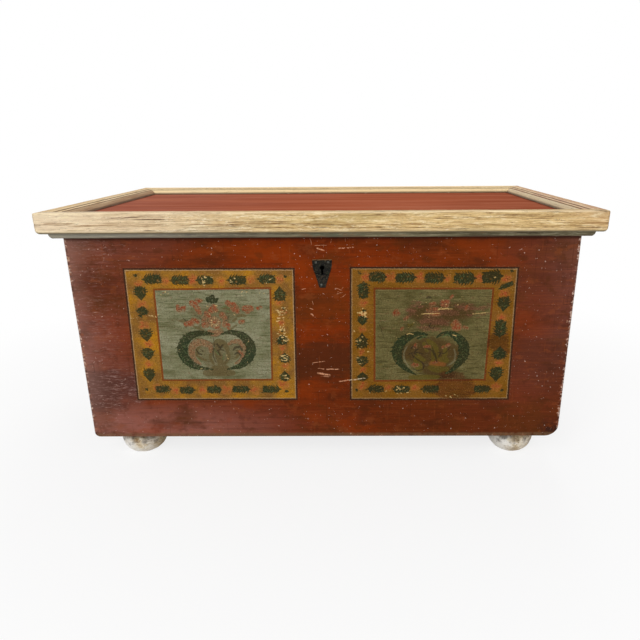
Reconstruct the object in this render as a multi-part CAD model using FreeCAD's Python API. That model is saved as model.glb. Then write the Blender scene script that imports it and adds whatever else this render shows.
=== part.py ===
import FreeCAD, Part
import math
import os

# Painted storage chest. A dovetailed board carcass stands on four turned bun feet. The lid is
# a board panel in a mitred, moulded frame with a lip moulding under it, and it turns on two
# forged strap hinges. An iron lock sits inside the front, behind a shield escutcheon.
# Millimetres. +X is to the right seen from the front, +Y runs to the back, +Z is up.
# The origin is on the floor, under the middle of the whole chest.

# Carcass walls: each wall is two planks, and the side planks carry the dovetail pins
chest_height = 628.3
body_width = 1150.0
body_depth = 598.0
wall_thickness = 24.0
tail_count = 6
front_seam_tail_count = 3.5
side_seam_tail_count = 2.5
pin_tip_width = 14.0
pin_root_width = 22.0
corner_wear = 2.0

# Bottom: ship-lapped planks from left to right, their ends worn round
bottom_thickness = 20.0
bottom_count = 3
bottom_lap = 12.0
left_end_round = 14.0
right_end_round = 32.0

# Turned bun feet, each with a tenon through the bottom. Flats stand for the round turning.
foot_height = 68.0
foot_flat_count = 32
foot_base_step_count = 4
foot_neck_step_count = 4
foot_base_radius = 37.0
foot_belly_radius = 57.0
foot_belly_level = 37.0
foot_neck_radius = 37.0
foot_collar_radius = 40.0
foot_collar_height = 8.0
foot_tenon_radius = 14.0
foot_tenon_play = 0.15
foot_side_inset = 95.0
foot_end_inset = 75.0

# Lid: two boards in a rebated frame whose section is measured from its outer face and underside
lid_overhang = 37.0
lid_seat_gap = 0.3
lid_board_thickness = 26.0
rail_width = 50.0
rail_height = 44.0
rail_rebate = 26.0
rail_nose_inset = 7.0
rail_nose_height = 22.0
rail_edge_round = 3.0
rail_band = 26.0
rail_step_run = 2.0
rail_step_drop = 6.0
rail_ledge = 3.0
rail_ovolo_bulge = 4.0
rail_feather = 1.0

# Lip moulding under the front and side rails
lip_gap = 2.0
lip_reach = 18.0
lip_height = 19.0
lip_fillet = 4.0
lip_cove_run = 5.5
lip_cove_drop = 12.0
lip_cove_bulge = 3.0

# Strap hinges: strap on the lid, leaf on the back wall, a pin between them
hinge_spacing = 660.0
strap_length = 300.0
strap_width = 30.0
strap_end_width = 18.0
strap_disc_radius = 14.0
strap_thickness = 3.0
strap_clearance = 0.3
strap_notch_play = 0.5
knuckle_radius = 6.5
knuckle_room = 1.5
middle_knuckle = 14.0
knuckle_side_gap = 0.3
hinge_pin_radius = 3.0
hinge_pin_play = 0.05
hinge_pin_head_radius = 4.5
hinge_pin_head = 2.0
leaf_length = 90.0
leaf_thickness = 3.0

# Shield escutcheon and its keyhole, places measured down from the shield's top edge
escutcheon_thickness = 2.0
shield_drop = 67.0
shield_height = 65.5
shield_half_width = 22.0
shield_shoulder_drop = 32.0
shield_shoulder_half = 16.3
shield_side_bulge = 1.9
shield_tip_half = 7.4
keyhole_drop = 18.6
keyhole_radius = 5.0
keyhole_slot_width = 4.6
keyhole_slot_length = 16.1
shield_nail_side = 14.0
shield_nail_drop = 6.1
shield_low_nail_side = -2.5
shield_low_nail_rise = 6.7

# Lock case and works on the inside of the front wall
case_half_width = 60.0
case_height = 109.0
case_depth = 20.0
case_sheet = 2.0
case_drop = 5.0
case_flange = 11.0
case_slot_play = 1.7
bolt_thickness = 4.0
bolt_height = 12.0
bolt_top_gap = 5.0
bolt_throw = 18.0
bolt_play = 0.3
bolt_lead = 1.0
bolt_tail_width = 18.0
bolt_tail_rise = 13.6
talon_width = 10.0
talon_height = 9.0
guide_wall = 2.5
guide_length = 6.0
guide_overlap = 2.0
rear_guide_gap = 8.0
spring_strip = 1.2
spring_width = 5.0
spring_end_gap = 0.5
key_pin_radius = 2.0
key_pin_length = 12.0
ward_radius = 9.0
ward_wall = 1.2
ward_height = 4.0
ward_sweep_deg = 200.0

# Staple on the lid that drops into the lock case
staple_wall = 2.5
staple_width = 8.0
staple_room = 1.0
staple_reach = 3.0
staple_plate_length = 56.0
staple_plate_width = 16.0
staple_round = 2.4
staple_nail_spacing = 42.0

# Till at the left end, housed in grooves in the front and back walls
till_width = 130.0
till_height = 120.0
till_drop = 24.0
till_board = 10.0
till_groove = 6.0
till_play = 0.2

# Forged nails: square shank and a low four-sided head
nail_play = 0.1
nail_crown_share = 0.35
small_head = 5.0
small_dome = 1.5
small_shank = 2.0
small_length = 14.0
large_head = 9.0
large_dome = 2.0
large_shank = 3.2
strap_nail_length = 25.0
leaf_nail_length = 22.0
bottom_nail_length = 52.0
lip_nail_length = 38.0
nail_end_inset = 32.0
nail_side_inset = 18.0
end_row_inset = 96.0
strap_nail_inset = 55.0
leaf_nail_low = 14.0
leaf_nail_high = 24.0
lip_nail_inset = 60.0
lip_nail_reach = 8.0
bottom_long_count = 5
bottom_short_count = 3
strap_nail_count = 3
leaf_nail_count = 3
lip_long_count = 5
lip_short_count = 3

# One overrun serves every cut that has to pass a face
overrun = 5.0

# Faces and levels that follow from the sizes above
half_width = body_width / 2
side_inner = half_width - wall_thickness
wall_low = foot_height + bottom_thickness
lid_low = chest_height - rail_height
wall_top = lid_low - lid_seat_gap
tail_pitch = (wall_top - wall_low) / tail_count
front_seam = wall_low + front_seam_tail_count * tail_pitch
side_seam = wall_low + side_seam_tail_count * tail_pitch
hinge_setback = knuckle_radius + knuckle_room
total_depth = lid_overhang + body_depth + hinge_setback + knuckle_radius
lid_front = -total_depth / 2
front_face = lid_front + lid_overhang
front_inner = front_face + wall_thickness
back_face = front_face + body_depth
back_inner = back_face - wall_thickness
lid_half = half_width + lid_overhang
strap_low = lid_low - strap_thickness
hinge_y = back_face + hinge_setback
hinge_z = strap_low + knuckle_radius
round_share = 1 - math.sqrt(0.5)

nodes = {}


def vec(x, y, z):
    return FreeCAD.Vector(x, y, z)


def block(x_low, x_high, y_low, y_high, z_low, z_high):
    return Part.makeBox(x_high - x_low, y_high - y_low, z_high - z_low, vec(x_low, y_low, z_low))


def plan_prism(corners, low, high):
    points = [vec(x, y, low) for x, y in corners]
    return Part.Face(Part.makePolygon(points + points[:1])).extrude(vec(0, 0, high - low))


def spaced(low, high, count):
    return [low + (high - low) * step / (count - 1) for step in range(count)]


# How far an arc stands off its chord, where it runs over run and rise and ends upright
def upright_bulge(run, rise):
    arc_radius = (run ** 2 + rise ** 2) / (2 * run)
    return arc_radius - math.sqrt(arc_radius ** 2 - (run ** 2 + rise ** 2) / 4)


# A section is a list of (first, second, bulge): a line to the point, or, where bulge isn't
# zero, an arc to it that stands bulge to the left of the way there. It closes on its start.
def section_face(section, place):
    edges = []
    last = section[-1]
    for first, second, bulge in section:
        start = vec(last[0], last[1], 0)
        end = vec(first, second, 0)
        if bulge:
            way = (end - start).normalize()
            middle = (start + end) * 0.5 + vec(-way.y, way.x, 0) * bulge
            edges.append(Part.Arc(place(*start), place(*middle), place(*end)).toShape())
        else:
            edges.append(Part.LineSegment(place(*start), place(*end)).toShape())
        last = (first, second)
    return Part.Face(Part.Wire(edges))


# A solid of flat faces through a stack of outlines that all have the same number of corners
def stacked(rings):
    rings = [[vec(*point) for point in ring] for ring in rings]
    faces = [Part.Face(Part.makePolygon(ring + ring[:1])) for ring in (rings[0], rings[-1])]
    for low, high in zip(rings, rings[1:]):
        for index, corner in enumerate(low):
            quad = [corner, high[index], high[index - 1], low[index - 1]]
            faces.append(Part.Face(Part.makePolygon(quad + quad[:1])))
    return Part.makeSolid(Part.makeShell(faces))


def fused(first, *others):
    return first.fuse(list(others)).removeSplitter()


def node(name, shapes):
    nodes[name] = shapes if isinstance(shapes, list) else [shapes]


# Nails stand at a list of seats on the surface, with their shanks pointing inward
def nail(seat, inward, sizes):
    head, dome, shank, length = sizes
    rings = [[(x * width / 2, y * width / 2, level) for x, y in ((-1, -1), (1, -1), (1, 1), (-1, 1))]
             for width, level in ((head, 0), (head * nail_crown_share, dome))]
    stem = block(-shank / 2, shank / 2, -shank / 2, shank / 2, -length, 0)
    body = fused(stacked(rings), stem)
    body.Placement = FreeCAD.Placement(seat, FreeCAD.Rotation(vec(0, 0, -1), inward))
    return body


def nail_holes(seats, inward, sizes):
    half = sizes[2] / 2 + nail_play
    holes = []
    for seat in seats:
        hole = block(-half, half, -half, half, -sizes[3] - nail_play, overrun)
        hole.Placement = FreeCAD.Placement(seat, FreeCAD.Rotation(vec(0, 0, -1), inward))
        holes.append(hole)
    return holes


def nails(seats, inward, sizes):
    return [nail(seat, inward, sizes) for seat in seats]


small_nail = (small_head, small_dome, small_shank, small_length)
strap_nail = (large_head, large_dome, large_shank, strap_nail_length)
leaf_nail = (large_head, large_dome, large_shank, leaf_nail_length)
bottom_nail = (large_head, large_dome, large_shank, bottom_nail_length)
lip_nail = (small_head, small_dome, small_shank, lip_nail_length)


# Wear takes the sharp corner off each upright edge and rounds the ends of the bottom
def upright_wear(side, face, inward):
    edge = side * half_width
    corners = [(edge, face), (edge - side * corner_wear, face), (edge, face + inward * corner_wear)]
    return plan_prism(corners, foot_height, wall_top)


def end_wear(side, radius):
    edge = side * half_width
    core = edge - side * radius
    square = block(min(edge, core), max(edge, core), front_face, back_face,
                   foot_height, foot_height + radius)
    return square.cut(Part.makeCylinder(radius, body_depth,
                                        vec(core, front_face, foot_height + radius), vec(0, 1, 0)))


def underside_at(x):
    radius = left_end_round if x < 0 else right_end_round
    inset = half_width - abs(x)
    if inset >= radius:
        return foot_height
    return foot_height + radius - math.sqrt(radius ** 2 - (radius - inset) ** 2)


wear = [end_wear(-1, left_end_round), end_wear(1, right_end_round)]
wear += [upright_wear(side, front_face, 1) for side in (-1, 1)]
wear += [upright_wear(side, back_face, -1) for side in (-1, 1)]


# Dovetail pins: wedges seen from the front, wide at the inner face and narrow at the outer one
def pin(side, level, y_low, y_high):
    outer = side * half_width
    inner = side * side_inner
    points = [vec(outer, y_low, level - pin_tip_width / 2),
              vec(outer, y_low, level + pin_tip_width / 2),
              vec(inner, y_low, level + pin_root_width / 2),
              vec(inner, y_low, level - pin_root_width / 2)]
    return Part.Face(Part.makePolygon(points + points[:1])).extrude(vec(0, y_high - y_low, 0))


def pins(side, y_low, y_high):
    levels = [wall_low + step * tail_pitch for step in range(tail_count + 1)]
    return [pin(side, level, y_low, y_high) for level in levels]


def side_plank(side, low, high):
    outer = side * half_width
    inner = side * side_inner
    plank = block(min(outer, inner), max(outer, inner), front_inner, back_inner, low, high)
    span = block(min(outer, inner), max(outer, inner), front_face, back_face, low, high)
    ends = pins(side, front_face, front_inner) + pins(side, back_inner, back_face)
    kept = [one for one in (each.common(span) for each in ends) if one.Volume > 0]
    return fused(plank, *kept).cut(wear)


def cross_plank(y_low, y_high, low, high, cuts):
    plank = block(-half_width, half_width, y_low, y_high, low, high)
    sockets = pins(-1, y_low, y_high) + pins(1, y_low, y_high)
    return plank.cut(sockets + wear + cuts)


# Keyhole: a round with a slot under it, cut along Y
shield_top = wall_top - shield_drop
keyhole_z = shield_top - keyhole_drop
slot_z = keyhole_z - keyhole_slot_length


def keyhole(y_low, y_high):
    round_part = Part.makeCylinder(keyhole_radius, y_high - y_low, vec(0, y_low, keyhole_z), vec(0, 1, 0))
    slot_part = block(-keyhole_slot_width / 2, keyhole_slot_width / 2, y_low, y_high, slot_z, keyhole_z)
    return fused(round_part, slot_part)


# Escutcheon: straight top, sides that bow out and then taper to a narrow tip
shield_tip = shield_top - shield_height
shield_face = front_face - escutcheon_thickness
shield_seats = [vec(side * shield_nail_side, shield_face, shield_top - shield_nail_drop) for side in (-1, 1)]
shield_seats.append(vec(shield_low_nail_side, shield_face, shield_tip + shield_low_nail_rise))
shield_holes = nail_holes(shield_seats, vec(0, 1, 0), small_nail)


def escutcheon():
    shoulder = shield_top - shield_shoulder_drop
    outline = [(shield_tip_half, shield_tip, 0),
               (shield_shoulder_half, shoulder, 0),
               (shield_half_width, shield_top, -shield_side_bulge),
               (-shield_half_width, shield_top, 0),
               (-shield_shoulder_half, shoulder, -shield_side_bulge),
               (-shield_tip_half, shield_tip, 0)]
    face = section_face(outline, lambda x, z, other: vec(x, front_face, z))
    plate = face.extrude(vec(0, -escutcheon_thickness, 0))
    return plate.cut([keyhole(front_face - overrun, front_face + overrun)] + shield_holes)


# Lock: a sheet case open towards the wood, with flanges nailed to the wall
case_top = wall_top - case_drop
case_low = case_top - case_height
case_back = front_inner + case_depth
works_back = case_back - case_sheet
works_top = case_top - case_sheet
staple_half = bolt_thickness / 2 + staple_room + staple_wall
works_y = works_back - staple_half - case_slot_play
bolt_top = works_top - bolt_top_gap
bolt_low = bolt_top - bolt_height
tail_left = -(bolt_throw + bolt_tail_width) / 2
tail_right = tail_left + bolt_tail_width
middle_guide = tail_right + bolt_throw + bolt_lead
rear_guide = tail_left - rear_guide_gap - guide_length
bolt_tip = middle_guide + guide_length + bolt_lead
bolt_end = rear_guide - guide_overlap - bolt_throw
far_guide = bolt_tip + bolt_throw + guide_overlap - guide_length
staple_left = bolt_tip + staple_reach
staple_right = staple_left + staple_width
staple_low = bolt_low - staple_room - staple_wall
guide_front = works_y - bolt_thickness / 2 - bolt_play - guide_wall

flange_middle = case_half_width + case_flange / 2
flange_levels = spaced(case_low + case_flange, case_top - case_flange, 3)
case_seats = [vec(side * flange_middle, front_inner + case_sheet, level)
              for side in (-1, 1) for level in flange_levels]
case_holes = nail_holes(case_seats, vec(0, -1, 0), small_nail)


def lock_case():
    shell = block(-case_half_width, case_half_width, front_inner, case_back, case_low, case_top)
    flange_half = case_half_width + case_flange
    flanges = block(-flange_half, flange_half, front_inner, front_inner + case_sheet, case_low, case_top)
    room = block(case_sheet - case_half_width, case_half_width - case_sheet, front_inner - overrun,
                 works_back, case_low + case_sheet, works_top)
    slot = block(staple_left - case_slot_play, staple_right + case_slot_play,
                 works_y - staple_half - case_slot_play, works_back, works_top - overrun, wall_top)
    return fused(shell, flanges).cut([room, slot] + case_holes)


def lock_bolt():
    y_low = works_y - bolt_thickness / 2
    y_high = works_y + bolt_thickness / 2
    tail_low = keyhole_z + bolt_tail_rise
    talon_middle = (tail_left + tail_right) / 2
    bar = block(bolt_end, bolt_tip, y_low, y_high, bolt_low, bolt_top)
    tail = block(tail_left, tail_right, y_low, y_high, tail_low, bolt_low)
    talon = block(talon_middle - talon_width / 2, talon_middle + talon_width / 2,
                  y_low - overrun, y_high + overrun, tail_low - overrun, tail_low + talon_height)
    return fused(bar, tail).cut(talon)


def bolt_guide(start):
    hole_half = bolt_thickness / 2 + bolt_play
    frame = block(start, start + guide_length, guide_front, works_back,
                  bolt_low - bolt_play - guide_wall, bolt_top + bolt_play + guide_wall)
    window = block(start - overrun, start + guide_length + overrun, works_y - hole_half,
                   works_y + hole_half, bolt_low - bolt_play, bolt_top + bolt_play)
    return frame.cut(window)


def bolt_spring():
    left = rear_guide + guide_length + spring_end_gap
    right = middle_guide - spring_end_gap
    sag = works_top - spring_strip - bolt_top - bolt_play
    section = [(right, works_top, 0), (left, works_top, sag),
               (left, works_top - spring_strip, 0), (right, works_top - spring_strip, -sag)]
    face = section_face(section, lambda x, z, other: vec(x, works_y - spring_width / 2, z))
    return face.extrude(vec(0, spring_width, 0))


def key_ward():
    start = vec(0, works_back - ward_height, keyhole_z)
    ring = Part.makeCylinder(ward_radius, ward_height, start, vec(0, 1, 0), ward_sweep_deg)
    return ring.cut(Part.makeCylinder(ward_radius - ward_wall, ward_height, start, vec(0, 1, 0)))


# Till board and till bottom, with the grooves that hold their ends
till_side_low = -side_inner + till_width
till_top = wall_top - till_drop
till_low = till_top - till_height


def till_piece(x_low, x_high, z_low, z_high, play):
    reach = till_groove + play
    return block(x_low - play, x_high + play, front_inner - reach, back_inner + reach,
                 z_low - play, z_high + play)


till_parts = [(till_side_low, till_side_low + till_board, till_low, till_top),
              (-side_inner, till_side_low, till_low, till_low + till_board)]
till_grooves = [till_piece(*part, till_play) for part in till_parts]


# Hinge sections across the pin, measured from the hinge axis
def hinge_face(section, start):
    return section_face(section, lambda y, z, other: vec(start, hinge_y + y, hinge_z + z))


def hinge_bore(centre):
    length = strap_width + 2 * overrun
    return Part.makeCylinder(hinge_pin_radius + hinge_pin_play, length,
                             vec(centre - length / 2, hinge_y, hinge_z), vec(1, 0, 0))


# An arc over the knuckle, from under the axis round its back and top to a level at the front
def knuckle_arc(level):
    start = vec(0, -knuckle_radius, 0)
    end = vec(-math.sqrt(knuckle_radius ** 2 - level ** 2), level, 0)
    chord_half = (end - start).Length / 2
    rise = knuckle_radius + math.sqrt(knuckle_radius ** 2 - chord_half ** 2)
    return (start.x, start.y, 0), (end.x, end.y, -rise)


strap_seats_y = spaced(back_inner - strap_nail_inset, hinge_y - strap_length, strap_nail_count)


def strap_seats(centre):
    return [vec(centre, y, strap_low) for y in strap_seats_y]


def hinge_strap(centre):
    back_edge = hinge_y - hinge_setback - strap_clearance
    tip = hinge_y - strap_length
    corners = [(centre - strap_width / 2, back_edge), (centre + strap_width / 2, back_edge),
               (centre + strap_end_width / 2, tip), (centre - strap_end_width / 2, tip)]
    blade = plan_prism(corners, strap_low, lid_low)
    disc = Part.makeCylinder(strap_disc_radius, strap_thickness, vec(centre, tip, strap_low))
    low, over = knuckle_arc(strap_thickness - knuckle_radius)
    section = [low, over, (-hinge_setback - strap_clearance - overrun, over[1], 0),
               (-hinge_setback - strap_clearance - overrun, low[1], 0)]
    knuckle = hinge_face(section, centre - middle_knuckle / 2).extrude(vec(middle_knuckle, 0, 0))
    holes = nail_holes(strap_seats(centre), vec(0, 0, 1), strap_nail)
    return fused(blade, disc, knuckle).cut([hinge_bore(centre)] + holes)


def leaf_seats(centre):
    levels = spaced(hinge_z - leaf_length + leaf_nail_low, hinge_z - leaf_nail_high, leaf_nail_count)
    return [vec(centre, back_face + leaf_thickness, level) for level in levels]


def hinge_leaf(centre):
    front = -hinge_setback
    back = leaf_thickness - hinge_setback
    low, over = knuckle_arc(strap_thickness - knuckle_radius - lid_seat_gap)
    section = [low, over, (front, over[1], 0), (front, -leaf_length, 0), (back, -leaf_length, 0),
               (back, low[1], 0)]
    leaf = hinge_face(section, centre - strap_width / 2).extrude(vec(strap_width, 0, 0))
    gap_half = middle_knuckle / 2 + knuckle_side_gap
    gap = block(centre - gap_half, centre + gap_half, back_face - overrun, hinge_y + 2 * knuckle_radius,
                strap_low - strap_clearance, hinge_z + 2 * knuckle_radius)
    return leaf.cut([gap, hinge_bore(centre)] + nail_holes(leaf_seats(centre), vec(0, -1, 0), leaf_nail))


def hinge_pin(centre):
    start = centre - strap_width / 2
    side = math.copysign(1, centre)
    head_start = start + strap_width if side > 0 else start - hinge_pin_head
    shank = Part.makeCylinder(hinge_pin_radius, strap_width, vec(start, hinge_y, hinge_z), vec(1, 0, 0))
    head = Part.makeCylinder(hinge_pin_head_radius, hinge_pin_head, vec(head_start, hinge_y, hinge_z),
                             vec(1, 0, 0))
    return fused(shank, head)


def strap_notch(centre):
    half = strap_width / 2 + strap_notch_play
    return block(centre - half, centre + half, back_inner - overrun, back_face + overrun,
                 strap_low - strap_clearance, wall_top + overrun)


hinge_centres = {"left": -hinge_spacing / 2, "right": hinge_spacing / 2}
strap_holes = []
leaf_holes = []
for centre in hinge_centres.values():
    strap_holes += nail_holes(strap_seats(centre), vec(0, 0, 1), strap_nail)
    leaf_holes += nail_holes(leaf_seats(centre), vec(0, -1, 0), leaf_nail)

# Nails through the bottom into the walls, each head on the lowest wood under it
def bottom_seat(x, y):
    inner_x = x - math.copysign(large_head / 2, x) if x else x
    return vec(x, y, underside_at(inner_x))


wall_middle = wall_thickness / 2
nail_column = half_width - nail_side_inset
long_row = spaced(nail_end_inset - half_width, half_width - nail_end_inset, bottom_long_count)
short_row = spaced(front_face + end_row_inset, back_face - end_row_inset, bottom_short_count)
bottom_seats = [bottom_seat(x, y) for x in long_row
                for y in (front_face + wall_middle, back_face - wall_middle)]
bottom_seats += [bottom_seat(x, y) for y in short_row for x in (-nail_column, nail_column)]
bottom_holes = nail_holes(bottom_seats, vec(0, 0, 1), bottom_nail)

# Walls
front_cuts = {"lower": bottom_holes,
              "upper": [keyhole(front_face - overrun, front_inner + overrun)] + shield_holes
              + case_holes + till_grooves}
back_cuts = {"lower": bottom_holes,
             "upper": [strap_notch(x) for x in hinge_centres.values()] + leaf_holes + till_grooves}
cross_spans = {"lower": (wall_low, front_seam), "upper": (front_seam, wall_top)}
side_spans = {"lower": (wall_low, side_seam), "upper": (side_seam, wall_top)}
for tier, span in cross_spans.items():
    node("front_board_" + tier, cross_plank(front_face, front_inner, *span, front_cuts[tier]))
    node("back_board_" + tier, cross_plank(back_inner, back_face, *span, back_cuts[tier]))
for tier, span in side_spans.items():
    for hand, side in (("left", -1), ("right", 1)):
        plank = side_plank(side, *span)
        node(hand + "_board_" + tier, plank.cut(bottom_holes) if tier == "lower" else plank)


# Feet
foot_top = foot_height + bottom_thickness


# Levels and radii along the bun: the base and the neck each rise to the belly in equal turns
def bun_rings(radius, level, step_count):
    run = foot_belly_radius - radius
    rise = level - foot_belly_level
    arc_radius = (run ** 2 + rise ** 2) / (2 * run)
    turn = math.copysign(math.acos(1 - run / arc_radius), rise)
    angles = [turn * step / step_count for step in range(1, step_count + 1)]
    return [(foot_belly_radius - arc_radius * (1 - math.cos(angle)),
             foot_belly_level + arc_radius * math.sin(angle)) for angle in angles]


def foot(x, y):
    collar_low = foot_height - foot_collar_height
    rings = bun_rings(foot_base_radius, 0, foot_base_step_count)[::-1]
    rings += [(foot_belly_radius, foot_belly_level)]
    rings += bun_rings(foot_neck_radius, collar_low, foot_neck_step_count)
    rings += [(foot_collar_radius, collar_low), (foot_collar_radius, foot_height),
              (foot_tenon_radius, foot_height), (foot_tenon_radius, foot_top)]
    turns = [2 * math.pi * (index + 0.5) / foot_flat_count for index in range(foot_flat_count)]
    return stacked([[(x + radius * math.cos(turn), y + radius * math.sin(turn), level) for turn in turns]
                    for radius, level in rings])


foot_places = {}
for end, y in (("front", front_face + foot_end_inset), ("back", back_face - foot_end_inset)):
    for hand, side in (("left", -1), ("right", 1)):
        foot_places[end + "_" + hand] = (side * (half_width - foot_side_inset), y)
for place_name, place in foot_places.items():
    node("foot_" + place_name, foot(*place))

# Bottom planks: the lower half of each joint is a lap short of the upper half
mortises = [Part.makeCylinder(foot_tenon_radius + foot_tenon_play, bottom_thickness + 2 * overrun,
                              vec(x, y, foot_height - overrun)) for x, y in foot_places.values()]
lap_level = foot_height + bottom_thickness / 2
bottom_names = ["front"] + ["middle"] * (bottom_count - 2) + ["back"]
bottom_pitch = body_depth / bottom_count
for index, bottom_name in enumerate(bottom_names):
    low_y = front_face + index * bottom_pitch
    high_y = low_y + bottom_pitch
    first_lap = bottom_lap if index else 0
    last_lap = bottom_lap if index < bottom_count - 1 else 0
    outline = [(low_y, foot_height, 0), (high_y, foot_height, 0), (high_y, lap_level, 0)]
    outline += [(high_y + last_lap, lap_level, 0)] if last_lap else []
    outline += [(high_y + last_lap, wall_low, 0), (low_y + first_lap, wall_low, 0)]
    outline += [(low_y + first_lap, lap_level, 0), (low_y, lap_level, 0)] if first_lap else []
    face = section_face(outline, lambda y, z, other: vec(-half_width, y, z))
    suffix = bottom_name if bottom_count < 4 or bottom_name != "middle" else "middle_%d" % index
    node("bottom_board_" + suffix, face.extrude(vec(body_width, 0, 0)).cut(mortises + wear + bottom_holes))
node("bottom_nails", nails(bottom_seats, vec(0, 0, 1), bottom_nail))

# Escutcheon and lock
node("escutcheon", escutcheon())
node("escutcheon_nails", nails(shield_seats, vec(0, 1, 0), small_nail))
node("lock_case", lock_case())
node("lock_case_nails", nails(case_seats, vec(0, -1, 0), small_nail))
node("lock_bolt", lock_bolt())
node("bolt_guides", [bolt_guide(start) for start in (rear_guide, middle_guide, far_guide)])
node("bolt_spring", bolt_spring())
key_pin = Part.makeCylinder(key_pin_radius, key_pin_length, vec(0, works_back, keyhole_z), vec(0, -1, 0))
node("key_pin", key_pin)
node("key_ward", key_ward())

# Till
for till_name, part in zip(("till_side", "till_bottom"), till_parts):
    node(till_name, till_piece(*part, 0))

# Lid frame rails, mitred at all four corners
rail_inner = rail_width - rail_rebate
rail_section = [(rail_inner, 0, 0),
                (rail_nose_inset, 0, 0),
                (0, rail_nose_height, upright_bulge(rail_nose_inset, rail_nose_height)),
                (0, rail_height - rail_edge_round, 0),
                (rail_edge_round, rail_height, round_share * rail_edge_round),
                (rail_band, rail_height, 0),
                (rail_band + rail_step_run, rail_height - rail_step_drop, 0),
                (rail_band + rail_step_run + rail_ledge, rail_height - rail_step_drop, 0),
                (rail_width, lid_board_thickness + rail_feather, rail_ovolo_bulge),
                (rail_width, lid_board_thickness, 0),
                (rail_inner, lid_board_thickness, 0)]
mitre_low = lid_low - lip_height - overrun
mitre_high = lid_low + rail_height + overrun
past = rail_width + overrun


def mitre(corners):
    return plan_prism(corners, mitre_low, mitre_high)


def front_rail(side_y, inward, name):
    face = section_face(rail_section, lambda u, v, other: vec(-lid_half, side_y + inward * u, lid_low + v))
    rail = face.extrude(vec(2 * lid_half, 0, 0))
    outside = side_y - inward * overrun
    inside = side_y + inward * past
    corners = [(-lid_half - overrun, outside), (lid_half + overrun, outside),
               (lid_half - past, inside), (past - lid_half, inside)]
    node(name, rail.common(mitre(corners)))


def side_rail(side, name):
    face = section_face(rail_section, lambda u, v, other: vec(side * (lid_half - u), lid_front, lid_low + v))
    rail = face.extrude(vec(0, back_face - lid_front, 0))
    outside = side * (lid_half + overrun)
    inside = side * (lid_half - past)
    corners = [(outside, lid_front - overrun), (inside, lid_front + past),
               (inside, back_face - past), (outside, back_face + overrun)]
    node(name, rail.common(mitre(corners)))


front_rail(lid_front, 1, "lid_rail_front")
front_rail(back_face, -1, "lid_rail_back")
side_rail(-1, "lid_rail_left")
side_rail(1, "lid_rail_right")

# Lip moulding, measured out from the carcass faces and down from the lid
lip_outer = lip_gap + lip_reach
lip_foot = lip_outer - lip_cove_run
lip_section = [(lip_outer, 0, 0),
               (lip_outer, -lip_fillet, 0),
               (lip_foot, -lip_fillet - lip_cove_drop, -lip_cove_bulge),
               (lip_foot, -lip_height, 0),
               (lip_gap, -lip_height, 0),
               (lip_gap, 0, 0)]
lip_past = lip_outer + overrun
lip_low = lid_low - lip_height
lip_row_x = spaced(lip_nail_inset - half_width, half_width - lip_nail_inset, lip_long_count)
lip_row_y = spaced(front_face + lip_nail_inset, back_face - lip_nail_inset, lip_short_count)
front_lip_seats = [vec(x, front_face - lip_nail_reach, lip_low) for x in lip_row_x]
side_lip_seats = {side: [vec(side * (half_width + lip_nail_reach), y, lip_low) for y in lip_row_y]
                  for side in (-1, 1)}
lip_seats = front_lip_seats + side_lip_seats[-1] + side_lip_seats[1]
lip_holes = nail_holes(lip_seats, vec(0, 0, 1), lip_nail)


def front_lip():
    start = -half_width - lip_outer
    face = section_face(lip_section, lambda w, v, other: vec(start, front_face - w, lid_low + v))
    lip = face.extrude(vec(-2 * start, 0, 0))
    reach = half_width + lip_past
    core = half_width - overrun
    corners = [(-reach, front_face - lip_past), (reach, front_face - lip_past),
               (core, front_face + overrun), (-core, front_face + overrun)]
    return lip.common(mitre(corners)).cut(lip_holes)


def side_lip(side):
    start = front_face - lip_outer
    face = section_face(lip_section, lambda w, v, other: vec(side * (half_width + w), start, lid_low + v))
    lip = face.extrude(vec(0, back_face - start, 0))
    reach = side * (half_width + lip_past)
    core = side * (half_width - overrun)
    corners = [(reach, front_face - lip_past), (core, front_face + overrun),
               (core, back_face + overrun), (reach, back_face + overrun)]
    return lip.common(mitre(corners)).cut(lip_holes)


node("lip_moulding_front", front_lip())
node("lip_moulding_left", side_lip(-1))
node("lip_moulding_right", side_lip(1))
node("lip_nails", nails(lip_seats, vec(0, 0, 1), lip_nail))

# Staple: a plate under the lid with a loop that the bolt passes through
staple_middle = (staple_left + staple_right) / 2
staple_seats = [vec(staple_middle + side * staple_nail_spacing / 2, works_y, lid_low - staple_wall)
                for side in (-1, 1)]
staple_holes = nail_holes(staple_seats, vec(0, 0, 1), small_nail)


def lid_staple():
    plate = block(staple_middle - staple_plate_length / 2, staple_middle + staple_plate_length / 2,
                  works_y - staple_plate_width / 2, works_y + staple_plate_width / 2,
                  lid_low - staple_wall, lid_low)
    bulge = round_share * staple_round
    outline = [(staple_half, lid_low - staple_wall, 0), (staple_half, staple_low + staple_round, 0),
               (staple_half - staple_round, staple_low, -bulge),
               (staple_round - staple_half, staple_low, 0),
               (-staple_half, staple_low + staple_round, -bulge), (-staple_half, lid_low - staple_wall, 0)]
    loop = section_face(outline, lambda y, z, other: vec(staple_left, works_y + y, z))
    eye_half = staple_half - staple_wall
    eye = block(staple_left - overrun, staple_right + overrun, works_y - eye_half, works_y + eye_half,
                staple_low + staple_wall, lid_low - staple_wall)
    return fused(plate, loop.extrude(vec(staple_width, 0, 0)).cut(eye)).cut(staple_holes)


node("lid_staple", lid_staple())
node("lid_staple_nails", nails(staple_seats, vec(0, 0, 1), small_nail))

# Lid boards, butted on the middle line of the frame's rebates
panel_front = lid_front + rail_inner
panel_back = back_face - rail_inner
panel_half = lid_half - rail_inner
panel_middle = (panel_front + panel_back) / 2
for end, low_y, high_y in (("front", panel_front, panel_middle), ("back", panel_middle, panel_back)):
    board = block(-panel_half, panel_half, low_y, high_y, lid_low, lid_low + lid_board_thickness)
    node("lid_board_" + end, board.cut(lip_holes + staple_holes + strap_holes))

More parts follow.
